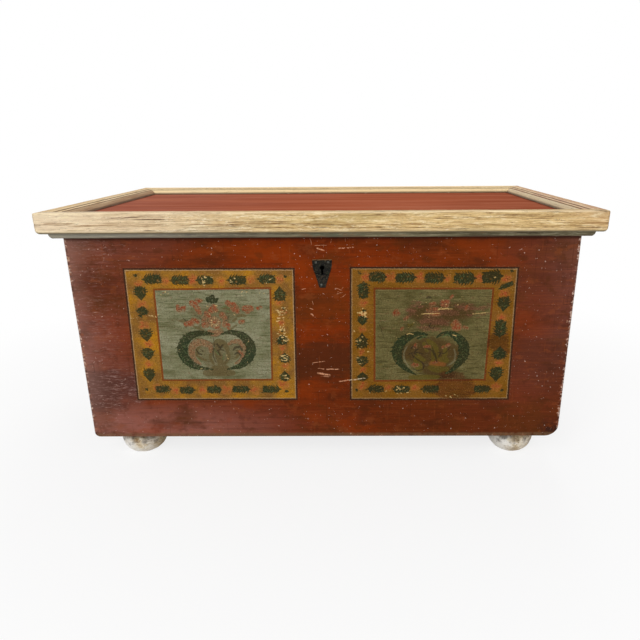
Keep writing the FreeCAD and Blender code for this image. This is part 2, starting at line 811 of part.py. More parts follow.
# Hinges
strap_nail_solids = []
leaf_nail_solids = []
for hand, centre in hinge_centres.items():
    node("hinge_strap_" + hand, hinge_strap(centre))
    node("hinge_leaf_" + hand, hinge_leaf(centre))
    node("hinge_pin_" + hand, hinge_pin(centre))
    strap_nail_solids += nails(strap_seats(centre), vec(0, 0, 1), strap_nail)
    leaf_nail_solids += nails(leaf_seats(centre), vec(0, -1, 0), leaf_nail)
node("hinge_strap_nails", strap_nail_solids)
node("hinge_leaf_nails", leaf_nail_solids)

# One STEP file for each node
os.makedirs("parts", exist_ok=True)
for name, shapes in nodes.items():
    solids = [solid for shape in shapes for solid in shape.Solids]
    shape = solids[0] if len(solids) == 1 else Part.makeCompound(solids)
    print("%-24s solids %2d  volume %12.1f  valid %s" % (name, len(solids), shape.Volume, shape.isValid()))
    shape.exportStep("parts/" + name + ".step")
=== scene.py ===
import bpy
import numpy as np
from math import radians
from mathutils import Matrix, Vector


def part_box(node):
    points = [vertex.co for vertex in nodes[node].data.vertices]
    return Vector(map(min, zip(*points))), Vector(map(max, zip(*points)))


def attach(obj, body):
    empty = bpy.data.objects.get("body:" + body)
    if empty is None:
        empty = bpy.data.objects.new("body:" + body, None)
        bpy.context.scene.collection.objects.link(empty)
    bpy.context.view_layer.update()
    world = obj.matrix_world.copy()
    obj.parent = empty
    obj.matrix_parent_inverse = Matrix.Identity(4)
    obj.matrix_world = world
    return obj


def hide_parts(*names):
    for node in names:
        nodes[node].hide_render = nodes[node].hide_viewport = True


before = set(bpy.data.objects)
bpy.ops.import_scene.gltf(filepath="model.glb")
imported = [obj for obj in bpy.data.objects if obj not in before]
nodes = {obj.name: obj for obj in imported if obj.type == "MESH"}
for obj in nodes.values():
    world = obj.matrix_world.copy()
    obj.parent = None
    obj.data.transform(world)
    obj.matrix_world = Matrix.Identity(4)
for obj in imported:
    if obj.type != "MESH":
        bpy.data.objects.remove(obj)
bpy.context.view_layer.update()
scene = bpy.context.scene
mm = 0.001
print("chest frame loaded:", len(nodes), "pieces")


def corners(name):
    # The lowest and highest corner of a piece, in millimetres
    low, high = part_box(name)
    return np.array(low) / mm, np.array(high) / mm


frontLow, frontHigh = corners("front_board_upper")
backLow, backHigh = corners("back_board_upper")
baseLow, baseHigh = corners("bottom_board_front")
railLow, railHigh = corners("lid_rail_front")
panelSeam, panelTop = corners("lid_board_front")[1][1:]
endSeam = corners("left_board_upper")[0][2]
frontFace, frontInner = frontLow[1], frontHigh[1]
backFace, backInner = backHigh[1], backLow[1]
bodyHalf, wallTop, seamLevel = frontHigh[0], frontHigh[2], frontLow[2]
lidHalf, lidFront, lidUnder = railHigh[0], railLow[1], railLow[2]
baseLevel, wallLow = baseLow[2], baseHigh[2]


# Values and colours in a material
class Wire:
    # One value in a material. Python's operators on it add Math nodes.
    def __init__(self, tree, socket=None):
        self.tree, self.socket = tree, socket

    def node(self, kind, inputs=None, out=0, stops=(), **settings):
        # Any node: its settings first, then the value or the link of each socket
        made = self.tree.nodes.new(kind)
        for name, value in settings.items():
            setattr(made, name, value)
        for place, (position, colour) in enumerate(stops):
            ramp = made.color_ramp.elements
            stop = ramp[place] if place < len(ramp) else ramp.new(position)
            stop.position, stop.color = position, tone(colour)
        for name, value in (inputs or {}).items():
            if isinstance(value, Wire):
                self.tree.links.new(value.socket, made.inputs[name])
            else:
                made.inputs[name].default_value = value
        return Wire(self.tree, made.outputs[out])

    def math(operation, reflected=False):
        # The method for one operator, or for its reflected form
        def method(self, other=0.0):
            first, second = (other, self) if reflected else (self, other)
            return self.node("ShaderNodeMath", {0: first, 1: second}, operation=operation)
        return method

    __add__ = __radd__ = math("ADD")
    __mul__ = __rmul__ = math("MULTIPLY")
    __sub__, __rsub__, __truediv__ = math("SUBTRACT"), math("SUBTRACT", True), math("DIVIDE")
    __or__, __and__ = math("MAXIMUM"), math("MINIMUM")  # | takes the larger, & the smaller
    __abs__, floor, sign = math("ABSOLUTE"), math("FLOOR"), math("SIGN")

    def rise(self, low, high):
        # 0 below low, 1 above high and a smooth climb between. It falls where low is the larger.
        if low > high:
            return 1.0 - self.rise(high, low)
        return self.node("ShaderNodeMapRange", {0: self, 1: low, 2: high, 3: 0.0, 4: 1.0},
                         interpolation_type="SMOOTHSTEP")

    def field(self, name):
        return self.node("ShaderNodeAttribute", out=2, attribute_name=name)

    def place(self):
        return self.node("ShaderNodeTexCoord", out=3)

    def run(self):
        # Metres along a moulding and across it, and the moulding's number
        return self.node("ShaderNodeCombineXYZ",
                         {place: self.field(name) for place, name in enumerate(("along", "across", "rail"))})

    def parts(self):
        return [self.node("ShaderNodeSeparateXYZ", {0: self}, out=axis) for axis in range(3)]

    def stretched(self, *sizes):
        return self.node("ShaderNodeVectorMath", {0: self, 1: sizes}, operation="MULTIPLY")

    def cloud(self, scale, detail=3.0, roughness=0.55, twist=0.0):
        return self.node("ShaderNodeTexNoise", {"Vector": self, "Scale": scale, "Detail": detail,
                                                "Roughness": roughness, "Distortion": twist})

    def streak(self, sizes, *manner, shift=None, scale=1.0):
        # A cloud drawn out along the axes with the small numbers, and shifted to another part of it
        at = self.stretched(*sizes)
        if shift:
            at = at.node("ShaderNodeVectorMath", {0: at, 1: shift}, operation="ADD")
        return at.cloud(scale, *manner)

    def cells(self, scale, feature="DISTANCE_TO_EDGE"):
        return self.node("ShaderNodeTexVoronoi", {"Vector": self, "Scale": scale}, feature=feature)

    def coloured(self, *stops):
        return self.node("ShaderNodeValToRGB", {0: self}, stops=stops)

    def over(self, below, colour, how="MIX"):
        # This value is the share of the colour that covers what is below
        below, colour = (c if isinstance(c, Wire) else tone(c) for c in (below, colour))
        return self.node("ShaderNodeMix", {0: self, 6: below, 7: colour}, out=2,
                         data_type="RGBA", blend_type=how)

    def coats(self, *coats):
        # Coats laid over this colour in turn, each a share and the colour that it adds
        below = self
        for share, colour in coats:
            below = share.over(below, colour)
        return below


def tone(colour):
    # Screen red, green and blue from 0 to 255, as light
    share = np.array(colour, float) / 255
    light = np.where(share <= 0.04045, share / 12.92, ((share + 0.055) / 1.055) ** 2.4)
    return (*(float(value) for value in light), 1.0)


def finish(name, make, **constants):
    # A material from a function that gives its colour, roughness and height in millimetres
    material = bpy.data.materials.new(name)
    material.use_nodes = True
    tree = material.node_tree
    shader = tree.nodes["Principled BSDF"]
    colour, roughness, height = make(Wire(tree))
    bump = height.node("ShaderNodeBump", {"Strength": 1.0, "Distance": mm, "Height": height})
    for wire, socket in ((colour, "Base Color"), (roughness, "Roughness"), (bump, "Normal")):
        tree.links.new(wire.socket, shader.inputs[socket])
    for socket, value in constants.items():
        shader.inputs[socket.replace("_", " ")].default_value = value
    return material


# Red paint, shared by the carcass and the margins of the painted panels
redPaint = {
    # The warm red and the glow are a painted sheen in the middle of the front
    "warm": (116, 40, 0), "middle": (104, 40, 4), "dull": (97, 52, 40), "dusty": (132, 80, 66),
    "grime": (56, 26, 8), "rubbed": (138, 70, 32), "bare": (190, 150, 122), "deep": (70, 32, 10),
    # The pale pink-white is a painted haze of light at the left end of the front
    "glow": (130, 48, 2), "brown": (72, 36, 6), "umber": (82, 44, 8), "bloom": (176, 138, 128),
    "mauve": (74, 46, 40), "chalk": (206, 176, 160), "foot": (144, 90, 78),
    "scratches": [  # start, end and width, in millimetres along and up the front
        (5, 249, 36, 249, 2.8), (-17, 240, 15, 233, 4.6), (-15, 252, 1, 250, 2.0), (-28, 266, 3, 269, 1.6),
        (35, 217, 99, 226, 2.8), (-8, 231, 12, 229, 1.6), (37, 542, 72, 544, 2.4), (-12, 543, 6, 537, 3.2),
        (-16, 549, 12, 550, 1.1), (-26, 566, -22, 552, 1.1), (22, 563, 20, 553, 0.8),
        (28, 451, 45, 445, 1.2), (34, 440, 48, 453, 1.2), (32, 436, 46, 440, 1.1), (40, 426, 53, 436, 1.0),
        (-48, 448, -38, 450, 1.3), (-29, 389, -17, 380, 2.8), (-32, 402, -22, 399, 1.6),
        (-24, 420, -22, 410, 1.0), (52, 566, 53, 556, 0.7)],
    "panelScratch": 4,  # the number of the one that runs over a painted panel
}


def redColour(at):
    # Warm red in the middle of the front as a painted sheen, duller towards the ends, streaked along the boards
    across, depth, height = at.parts()
    red = redPaint
    drift = at.streak((2.4, 2.4, 3.4), 3.0) - 0.5
    away = abs(across + 0.02) / 0.575 + drift * 0.9
    dull = away.rise(0.50, 1.02) * ((height.rise(0.12, 0.30) * 0.8 + across.rise(-0.1, -0.3) + 0.2) & 1.0)
    farTop = (across + drift * 0.1).rise(0.48, 0.59) * height.rise(0.36, 0.54)
    # The left end, where the paint is paler under a painted haze of light
    leftEnd = (drift * 0.5 - across).rise(0.36, 0.62)
    low = (at.streak((3, 3, 6), 4.0, shift=(4, 1, 2)) - height * 0.55).rise(0.26, 0.46)
    foot = height.rise(0.19, 0.09) * (drift * 0.6 - across).rise(-0.05, 0.45)
    streaks = at.streak((5, 5, 140), 4.0, 0.65)
    fibres = at.streak((22, 22, 480), 3.0, 0.6)
    mottle = at.cloud(40, 4.0, 0.6)
    clouds = at.streak((7, 7, 16), 4.0, 0.6, shift=(3, 0, 8))
    # Warmer streaks, strongest in the middle of the front: more of the painted sheen
    glow = at.streak((6, 6, 13), 5.0, 0.62, shift=(9, 0, 2))
    blots = at.streak((24, 24, 38), 4.0, 0.65, shift=(1, 0, 5))
    umber = at.streak((5, 5, 9), 5.0, 0.62, shift=(2, 7, 1))
    drips = at.streak((160, 160, 5), 3.0, 0.6)

    def patch(left, up, wide, high, size):
        # A patch of the front: size at its middle, less by the square of the distance from there
        u, v = (across + left) / wide, (height - up) / high
        return size - (u * u + v * v) * 0.6

    smear = patch(0.04, 0.268, 0.15, 0.048, 1.25) + (clouds - 0.5) * 3.0 + (streaks - 0.5) * 1.5
    worn = (patch(0.52, 0.195, 0.10, 0.062, 1.15) + (clouds - 0.5) * 2.6).rise(0.3, 1.0) * onFront(depth)
    # The left end under a painted haze of light, joined with the worn patch near it
    haze = (drift * 0.3 - across).rise(0.40, 0.60) | worn
    rubs = at.streak((64, 64, 380), 5.0, 0.78, shift=(0, 0, 4))
    # Painted haze of light along the left edge
    edgeHaze = (drift * 0.2 - across).rise(0.50, 0.59)
    flecks = at.streak((1, 1, 2.2), 2.0, 0.5, shift=(7, 3, 1), scale=310).rise(0.735, 0.77)
    # Painted sheen: the warm red in the middle of the front, duller red further out
    colour = away.rise(0.10, 0.60).over(red["warm"], red["middle"]).coats(
        (dull, red["dull"]),
        (farTop * 0.6, red["dusty"]),
        # painted haze of light: paler pink at the left end
        (leftEnd * 0.7, red["dusty"]),
        (low * (across + 0.1 + drift).rise(-0.35, -0.05) * 0.4, red["deep"]),
        (foot * 0.95, red["foot"]),
        (streaks.rise(0.54, 0.72) * 0.22, red["rubbed"]),
        (streaks.rise(0.46, 0.30) * 0.32, red["grime"]),
        (fibres.rise(0.52, 0.70) * 0.16, red["rubbed"]),
        (fibres.rise(0.46, 0.30) * 0.18, red["grime"]),
        (mottle.rise(0.54, 0.70) * 0.35, red["grime"]),
        (clouds.rise(0.51, 0.64) * 0.46, red["grime"]),
        # painted sheen: glow streaks, strongest in the middle of the front
        (glow.rise(0.50, 0.64) * away.rise(1.1, 0.4) * 0.55, red["glow"]),
        (blots.rise(0.54, 0.68) * 0.42, red["brown"]),
        (umber.rise(0.50, 0.62) * 0.4, red["umber"]),
        (blots.rise(0.44, 0.34) * 0.26, red["rubbed"]),
        (smear.rise(0.1, 0.9) * 0.8, red["deep"]),
        (drips.rise(0.60, 0.72) * mottle.rise(0.44, 0.56) * 0.3, red["rubbed"]),
        (drips.rise(0.40, 0.28) * 0.3, red["grime"]),
        (worn * 0.72, red["mauve"]),
        # painted haze of light at the left end, along the rub streaks and the left edge
        ((haze * rubs.rise(0.50, 0.64) | edgeHaze * 0.6) * 0.42, red["bloom"]),
        (haze * (rubs * 0.7 + mottle * 0.3).rise(0.61, 0.66) * 0.7, red["chalk"]),
        (flecks * mottle.rise(0.50, 0.40) * (leftEnd * 0.4 + 0.12), red["chalk"]))
    return colour, streaks, fibres, mottle


def onFront(depth):
    # 1 on the front of the chest, 0 behind it
    return (depth * -1.0).rise(0.2, 0.25)


def scratch(at, number):
    # Nearness to a scratch's line on the front: 1 on it, 0 past half its width
    x0, z0, x1, z1, width = redPaint["scratches"][number]
    across, depth, height = at.parts()
    run, climb = x1 - x0, z1 - z0
    length = (run * run + climb * climb) ** 0.5
    u, v = run / length, climb / length
    wobble = (at.cloud(70, 3.0, 0.7) - 0.5) * (6 * mm)
    along = (across - x0 * mm) * u + (height - z0 * mm) * v
    aside = abs((height - z0 * mm) * u - (across - x0 * mm) * v + wobble)
    within = along.rise(-mm, 2 * mm) * along.rise((length + 1) * mm, (length - 3) * mm)
    return aside.rise(width * 0.68 * mm, width * 0.22 * mm) * within * at.cloud(260, 2.0).rise(0.34, 0.52)


jointPlan = {"pins": 6, "tipHalf": 7.0, "rootHalf": 11.0, "thick": 24.0, "soft": 0.8, "core": 0.2}


def boardJoints(at):
    # Hairlines over the planks' seams and round the dovetails at the corners, and the pins' end grain
    across, depth, height = at.parts()
    plan = jointPlan
    wobble = (at.streak((14, 14, 14), 3.0) - 0.5) * (3 * mm)
    fromEnd = bodyHalf * mm - abs(across)
    fromFace = (depth - frontFace * mm) & (backFace * mm - depth)
    thick, tip, wide = plan["thick"] * mm, plan["tipHalf"] * mm, plan["rootHalf"] * mm

    def hairline(away):
        return abs(away + wobble * 0.3).rise(plan["soft"] * mm, plan["core"] * mm)

    onEnd = fromFace.rise(0.5 * mm, mm) * fromEnd.rise(thick + mm, thick + 0.6 * mm)
    seam = hairline(height - onEnd * ((endSeam - seamLevel) * mm) - seamLevel * mm)
    pitch = (wallTop - wallLow) / plan["pins"] * mm
    turn = (height - wallLow * mm) / pitch + 0.5
    nearPin = abs(turn - turn.floor() - 0.5) * pitch
    onFace = fromFace.rise(mm, 0.5 * mm)
    slope = nearPin - tip - fromEnd * ((wide - tip) / thick)
    faceTails = hairline(slope) * fromEnd.rise(thick + mm, thick)
    faceTails = faceTails | hairline(fromEnd - thick) * nearPin.rise(wide + mm, wide) * 0.8
    endTails = hairline(nearPin - tip) * fromFace.rise(thick + mm, thick)
    endTails = endTails | hairline(fromFace - thick) * nearPin.rise(tip - mm, tip) * 0.8
    endTails = endTails * onEnd * fromEnd.rise(mm, 0.5 * mm)
    opening = at.streak((4, 4, 10), 3.0).rise(0.40, 0.62)
    front = depth.rise(-0.2, -0.25)
    lines = seam * (0.9 - front * 0.4) | (faceTails * onFace | endTails) * 0.75
    lines = lines * (opening + (1.0 - front) * 0.35)
    pins = slope.rise(0.3 * mm, -0.3 * mm) * fromEnd.rise(thick, thick - mm) * onFace
    return lines & 1.0, pins


def bareColour(at, axis=0):
    # Planed softwood gone brown: long grain with darker late wood, and a few knots
    def along(size, others):
        return [size if axis == place else others for place in range(3)]

    grain = at.streak(along(5.0, 150.0), 5.0, 0.6, 0.4)
    bands = at.streak(along(1.4, 30.0), 3.0, 0.5, 0.8)
    knot = at.stretched(*along(3.0, 5.4)).cells(1.0, "F1") + (grain - 0.5) * 0.05
    colour = grain.coloured((0.25, (88, 60, 38)), (0.5, (134, 98, 64)), (0.75, (164, 126, 84))).coats(
        (at.cloud(5, 4.0).rise(0.45, 0.75) * 0.5, (84, 62, 44)),
        (bands.rise(0.48, 0.62) * 0.45, (104, 74, 48)),
        (bands.rise(0.46, 0.34) * 0.35, (172, 138, 98)),
        (knot.rise(0.20, 0.09) * 0.5, (96, 64, 38)),
        (knot.rise(0.085, 0.06) * 0.85, (56, 36, 24)))
    return colour, grain


keyhole = {"level": 492, "wide": (8, 6), "high": (19, 16)}  # the opening behind the escutcheon, half sizes


def carcassFinish(wire):
    # Red outside, bare wood inside and behind, with paint rubbed off along the edges; a painted shadow under the
    # lip and painted shade in the keyhole
    at = wire.place()
    across, depth, height = at.parts()
    colour, streaks, fibres, mottle = redColour(at)
    inFromEnd = (bodyHalf * mm - abs(across)) | ((depth - frontFace * mm) & (backFace * mm - depth))
    fromFloor = height - baseLevel * mm
    chips = at.cloud(95, 5.0, 0.7)
    edge = inFromEnd.rise(0.020, 0.0) * 0.15 | fromFloor.rise(0.016, 0.0) * 0.12
    rubbed = (chips + edge + (at.streak((3, 3, 8), 2.0) - 0.5) * 0.3).rise(0.66, 0.80)
    corner = (fromFloor.rise(0.06, 0.0) & inFromEnd.rise(0.07, 0.0)) * 1.6 | fromFloor.rise(0.012, 0.0) * 0.7
    dirt = corner * chips.rise(0.62, 0.44) * (across.rise(-0.5, -0.2) * 0.5 + 0.3)
    hem = fromFloor.rise(0.013, 0.005) * (chips * 0.8 + streaks * 0.5).rise(0.45, 0.66)
    darkEdge = inFromEnd.rise(0.009, 0.002) * (chips * 0.9 + fibres * 0.4).rise(0.74, 0.58)
    paleEdge = inFromEnd.rise(0.012, 0.003) * (chips * 0.6 + fibres * 0.5).rise(0.60, 0.68)
    nicks = (inFromEnd.rise(0.010, 0.001) * 0.16 + at.cloud(150, 4.0, 0.7)).rise(0.66, 0.70)
    lost = (chips + edge + (at.cloud(9, 2.0) - 0.5) * 0.3).rise(0.775, 0.81)
    marks = scratch(at, 0)
    for number in range(1, len(redPaint["scratches"])):
        marks = marks | scratch(at, number)
    marks = marks * onFront(depth)
    worms = at.cells(130, "F1").rise(0.10, 0.05) * at.cloud(11, 3.0).rise(0.60, 0.66)
    joints, pins = boardJoints(at)
    # The keyhole's opening is painted near black as painted shade
    hole = abs(across).rise(*(half * mm for half in keyhole["wide"])) \
        * abs(height - keyhole["level"] * mm).rise(*(half * mm for half in keyhole["high"])) * onFront(depth)
    # Painted shadow under the lip moulding, along the top of the walls
    shadowUnderLip = height.rise((wallTop - 26) * mm, (wallTop - 15) * mm)
    colour = colour.coats(
        (rubbed * 0.5, redPaint["rubbed"]),
        (dirt & 0.85, (48, 26, 18)),
        (hem * 0.6, (112, 88, 62)),
        (darkEdge * 0.55, (52, 34, 28)),
        (paleEdge * 0.6, (170, 126, 108)),
        (nicks * 0.75, (208, 178, 160)),
        (lost * 0.7, redPaint["bare"]),
        (marks * 0.78, (214, 154, 116)),
        (worms * 0.8, (34, 18, 12)),
        (joints * 0.7, (40, 20, 14)),
        # painted shade in the keyhole
        (hole, (8, 5, 3)),
        # painted shadow under the lip
        (shadowUnderLip * 0.75, (44, 24, 18)))
    wood, grain = bareColour(at)
    endWood, endGrain = bareColour(at, 1)
    within, soft = bodyHalf - jointPlan["thick"], 0.5 * mm
    endBoard = abs(across).rise((within - 0.8) * mm, (within - 0.2) * mm) \
        * depth.rise(frontInner * mm - soft, frontInner * mm) \
        * depth.rise(backInner * mm + soft, backInner * mm)
    grain = grain + endBoard * (endGrain - grain)
    wood = wood.coats(
        (endBoard, endWood),
        (pins * (0.35 + chips * 0.5), (76, 52, 34)),
        # dark joints, and painted shade in the keyhole on the bare wood
        (joints * 0.85 | hole, (20, 14, 9)),
        (fromFloor.rise(0.10, 0.0) * (0.3 + chips) * 0.7, (86, 66, 50)))
    outside = (depth * -1.0).rise((-frontFace - 1.6) * mm, (-frontFace - 1.2) * mm) \
        | abs(across).rise((bodyHalf - 1.6) * mm, (bodyHalf - 1.2) * mm)
    roughness = outside * (0.52 + mottle * 0.2 + lost * 0.2 - 0.86) + 0.86
    high = streaks * 0.5 + fibres * 0.35 + mottle * 0.5 + chips * 0.25 - lost * 0.35 - marks * 0.3
    high = outside * (high - joints * 0.8 - worms * 0.8 - grain * 0.6) + grain * 0.6
    return outside.over(wood, colour), roughness, high


# Limewashed frame of the lid
railNumber = {"front": 4.07, "back": 5.55, "left": 7.03, "right": 8.51}


def limewashFinish(wire):
    # Cream wood with brown grain along each rail, dirt in the grooves and a pale arris, rubbed and with a painted
    # highlight; painted light and shade lie on the inner slopes, the panel's edge, the lower edge, the back rail
    # and the left end
    across = wire.place().parts()[0]
    run = wire.run()
    broad, fine = run.streak((3.2, 70, 9), 4.0, 0.6), run.streak((16, 420, 9), 4.0, 0.65)
    speck, patches = run.streak((90, 700, 9), 3.0, 0.7), run.streak((5, 26, 3), 4.0)
    mixed = broad * 0.30 + fine * 0.42 + speck * 0.28
    # The left end of the frame, where a painted haze of light lies
    leftEnd = (patches * 0.5 - across).rise(0.30, 0.80)
    rightEnd = (patches * 0.4 + across).rise(0.66, 0.86)
    chalk = run.streak((22, 95, 5), 5.0, 0.7).rise(0.52, 0.62) * speck.rise(0.40, 0.52)
    face, which, toPanel = (wire.field(name) for name in ("face", "rail", "panelSide"))
    band = abs(face - 0.46 + (broad - 0.5) * 0.9).rise(0.16, 0.02)
    pits = (speck.rise(0.37, 0.31) | mixed.rise(0.41, 0.385)) * 0.5
    front, back, left, right = (abs(which - number).rise(0.4, 0.2) for number in railNumber.values())
    arris, groove = wire.field("arris"), wire.field("groove")
    dirt = (groove * 1.5 + (speck - 0.5) * 0.8).rise(0.25, 0.75)
    spot = abs(across + 0.26).rise(0.16, 0.04) * front
    white = run.streak((40, 150, 5), 5.0, 0.8) + spot * 0.06 + (fine - 0.5) * 0.3
    white = white.rise(0.60, 0.67) * face.rise(0.95, 0.8) * (front | back)
    nicks = (run.streak((44, 200, 5), 5.0, 0.85) + spot * 0.05).rise(0.385, 0.345)
    cracks = fine.rise(0.39, 0.33) * broad.rise(0.52, 0.38)
    colour = mixed.coloured((0.395, (134, 102, 60)), (0.45, (184, 152, 102)), (0.50, (204, 172, 116)),
                            (0.55, (218, 188, 134)), (0.61, (240, 220, 176))).coats(
        (patches.rise(0.50, 0.66) * 0.45, (172, 152, 98)),
        # painted haze of light: paler at the left end
        (leftEnd * 0.62, (232, 214, 190)),
        (rightEnd * 0.30, (206, 160, 128)),
        (chalk * 0.55, (236, 220, 180)),
        (band * fine.rise(0.56, 0.44) * 0.6, (138, 100, 56)),
        (fine.rise(0.44, 0.36) * 0.5, (146, 108, 62)),
        (pits, (92, 66, 38)),
        (left * (0.6 + (patches - 0.5) * 1.4), (204, 168, 112)),
        # painted shade: the left rail's inner slope, facing away from the light, painted brown
        (toPanel.rise(0.0, 0.35) * left * (0.9 + (patches - 0.5) * 1.5), (130, 88, 48)),
        (right * (0.9 + (patches - 0.5)) * fine.rise(0.62, 0.45), (178, 130, 98)),
        # painted highlight: the right rail's inner slope, facing the light from the left, painted pale
        (toPanel.rise(0.05, 0.3) * right * (0.8 + (patches - 0.5)), (194, 176, 140)),
        # painted highlight: the back rail painted lighter all over
        (back * 0.75, (255, 226, 172)),
        # pale arris: rubbed wear with a painted highlight
        (arris * (0.45 + fine).rise(0.72, 1.02) * 0.85, (250, 230, 192)),
        (dirt * 0.85, (84, 54, 32)),
        # painted shadow: dark at the inner edge where the rail meets the panel
        (toPanel.rise(0.80, 0.96) * 0.75, (74, 46, 30)),
        (white * 0.65, (240, 228, 196)),
        (nicks * 0.7, (84, 60, 38)),
        # grey-green paint on the rounded lower edge, darkened further as painted shade
        (face.rise(0.17, 0.06) * (0.35 + patches * 0.4), (150, 128, 84)),
        (face.rise(0.10, 0.05) * 0.85, (104, 98, 78)),
        (cracks * 0.8, (96, 66, 38)))
    return colour, 0.62 + fine * 0.25, broad * 0.5 + fine * 0.7 + speck * 0.3 - cracks * 0.5 - pits * 0.3


def lipFinish(wire):
    # Grey-green paint, chalky where rubbed, with brown wood through it; a painted shadow along its top under the
    # rail, a painted highlight on its arrises and a painted haze of light at the left end
    run = wire.run()
    broad, fine = run.streak((6, 60, 9), 4.0, 0.6), run.streak((40, 420, 9), 4.0, 0.7)
    # The left end of the lip, where a painted haze of light lies
    left = (broad * 0.4 - wire.place().parts()[0]).rise(0.20, 0.65)
    wood = (run.streak((9, 30, 2), 5.0, 0.7) + fine * 0.3).rise(0.70, 0.82)
    level = wire.field("face") + (broad - 0.5) * 0.5
    colour = broad.coloured((0.36, (66, 56, 40)), (0.5, (92, 84, 60)), (0.62, (122, 114, 86))).coats(
        # painted haze of light: paler at the left end
        (left * 0.8, (162, 156, 142)),
        (run.streak((5, 30, 3), 3.0).rise(0.50, 0.64) * 0.5, (104, 112, 94)),
        # chalky rubs, paler on the arrises as a painted highlight
        ((wire.field("arris") * 0.25 + fine).rise(0.52, 0.72) * 0.5, (188, 180, 148)),
        (wood * 0.6, (132, 92, 58)),
        (level.rise(0.30, 0.02) * 0.75, (78, 56, 38)),
        # painted shadow along the top, under the rail's overhang
        (level.rise(0.84, 1.0) * 0.6, (64, 60, 46)))
    return colour, 0.6 + fine * 0.25, broad * 0.4 + fine * 0.5 - wood * 0.3


def lidPanelFinish(wire):
    # The lid's panel: thin red painted pinker and lighter as a painted sheen, most to the left, worn pinkish
    # along the boards, with painted shade along the frame, bare underneath
    at = wire.place()
    across, depth, height = at.parts()
    streaks, fibres = at.streak((3, 90, 90), 4.0, 0.6), at.streak((14, 420, 90), 3.0, 0.6)
    drift, broad = at.streak((2.5, 5, 1), 3.0) - 0.5, at.streak((1.6, 30, 1), 4.0, 0.65)
    seam = abs(depth - panelSeam * mm + (drift * 0.002)).rise(1.1 * mm, 0.3 * mm)
    rail = railHigh[1] - railLow[1]
    # Painted shade: the panel darker near the frame round it
    edge = ((lidHalf - rail) * mm - abs(across)).rise(0.012, 0.0) \
        | (depth - (lidFront + rail) * mm).rise(0.014, 0.0) | ((backFace - rail) * mm - depth).rise(0.012, 0.0)
    # Painted sheen: the whole panel painted pinker and lighter than the front's red, more so to the left
    colour = (drift * 0.7 - across).rise(-0.1, 0.55).over((166, 88, 60), (162, 96, 78)).coats(
        # less of the painted sheen towards the right end, so darker there
        ((drift * 0.8 + across).rise(0.15, 0.6), (146, 76, 52)),
        (broad.rise(0.50, 0.62) * 0.5, (182, 108, 80)),
        (broad.rise(0.48, 0.36) * 0.55, (138, 68, 44)),
        (streaks.rise(0.50, 0.68) * 0.42, (188, 118, 92)),
        (fibres.rise(0.48, 0.32) * 0.45, (126, 64, 42)),
        (at.streak((9, 60, 9), 5.0, 0.7).rise(0.64, 0.74) * 0.4, (214, 162, 134)),
        (seam * 0.6, (84, 44, 32)),
        # painted shade along the frame
        (edge * 0.5, (98, 52, 38)))
    colour = height.rise((panelTop - 1.0) * mm, (panelTop - 0.5) * mm).over(bareColour(at)[0], colour)
    return colour, 0.5 + fibres * 0.25, streaks * 0.5 + fibres * 0.5 - seam * 0.6


footShape = {"axis": 480.0, "base": 37.0, "belly": 57.0, "bellyLevel": 37.0, "neck": 37.0, "collar": 40.0,
             "collarLevel": 60.0, "tenon": 14.0, "around": 128, "crumble": 1.6}


def footFinish(wire):
    # Chalky white over brown wood: cracked, speckled and darker up under the chest as a painted shadow; each foot
    # is painted lighter on its left side and darker on its right, as painted light
    at = wire.place()
    across, depth, height = at.parts()
    patches, specks = at.cloud(26, 5.0, 0.65), at.streak((1, 1, 1.6), 4.0, 0.7, scale=210)
    rings = at.streak((20, 20, 360), 4.0, 0.6)
    aside = across - across.sign() * (footShape["axis"] * mm)
    # Painted shadow: darker towards the top of the foot, under the chest
    stain = (height * 13 + patches * 0.9 + (at.cloud(60, 3.0) - 0.5) * 1.4).rise(0.82, 1.25)
    checks = at.streak((9, 9, 70), 5.0, 0.8).rise(0.40, 0.34) * patches.rise(0.60, 0.48)
    colour = patches.coloured((0.34, (158, 130, 92)), (0.45, (214, 198, 168)), (0.56, (238, 232, 220))).coats(
        (rings.rise(0.47, 0.34) * 0.4, (160, 128, 86)),
        (specks.rise(0.45, 0.36) * 0.75, (118, 84, 52)),
        (specks.rise(0.62, 0.74) * 0.6, (244, 238, 224)),
        # painted light: each foot's left side painted near white
        ((aside * -12 + patches * 0.8 - height * 4).rise(0.10, 0.75) * 0.8, (250, 248, 242)),
        # painted shade: each foot's right side painted darker brown
        ((aside * 12 + patches * 0.9).rise(0.62, 1.15) * 0.6, (146, 122, 84)),
        (at.cloud(120, 5.0, 0.75).rise(0.60, 0.68) * 0.7, (84, 66, 44)),
        # painted shadow up under the chest
        (stain * 0.7, (84, 70, 54)),
        (checks * 0.7, (92, 66, 42)))
    return colour, 0.7 + specks * 0.2, patches * 0.8 + specks * 0.4 + rings * 0.3 - checks * 0.5


def ironFinish(dark, mid, rust, shine):
    def make(wire):
        # Forged iron: hammered dips, a dark skin, rust in the hollows and worn, brighter ridges
        at = wire.place()
        dents, pits, patches = at.cloud(170, 3.0, 0.5), at.cloud(900, 4.0, 0.7), at.cloud(46, 4.0, 0.6)
        colour = (dents * 0.6 + pits * 0.4).coloured((0.36, dark), (0.62, mid)).coats(
            (patches.rise(0.52, 0.7) * 0.6, rust),
            (dents.rise(0.62, 0.78) * pits.rise(0.42, 0.6) * 0.6, shine))
        return colour, 0.38 + pits * 0.35 + patches * 0.1, dents * 0.9 + pits * 0.18
    return make


shield = {"level": 517.0, "top": 22.0, "shoulder": 16.9, "tip": 6.8, "shoulderDrop": 32.0, "bow": 1.9,
          "thick": 2.0, "hole": 5.0, "slotHalf": 2.3, "slotDrop": 16.1, "holeDrop": 18.6, "around": 288,
          "dent": 0.22, "crack": 33.5, "worn": (33, 39)}  # crack and worn tip: drops from the top's level


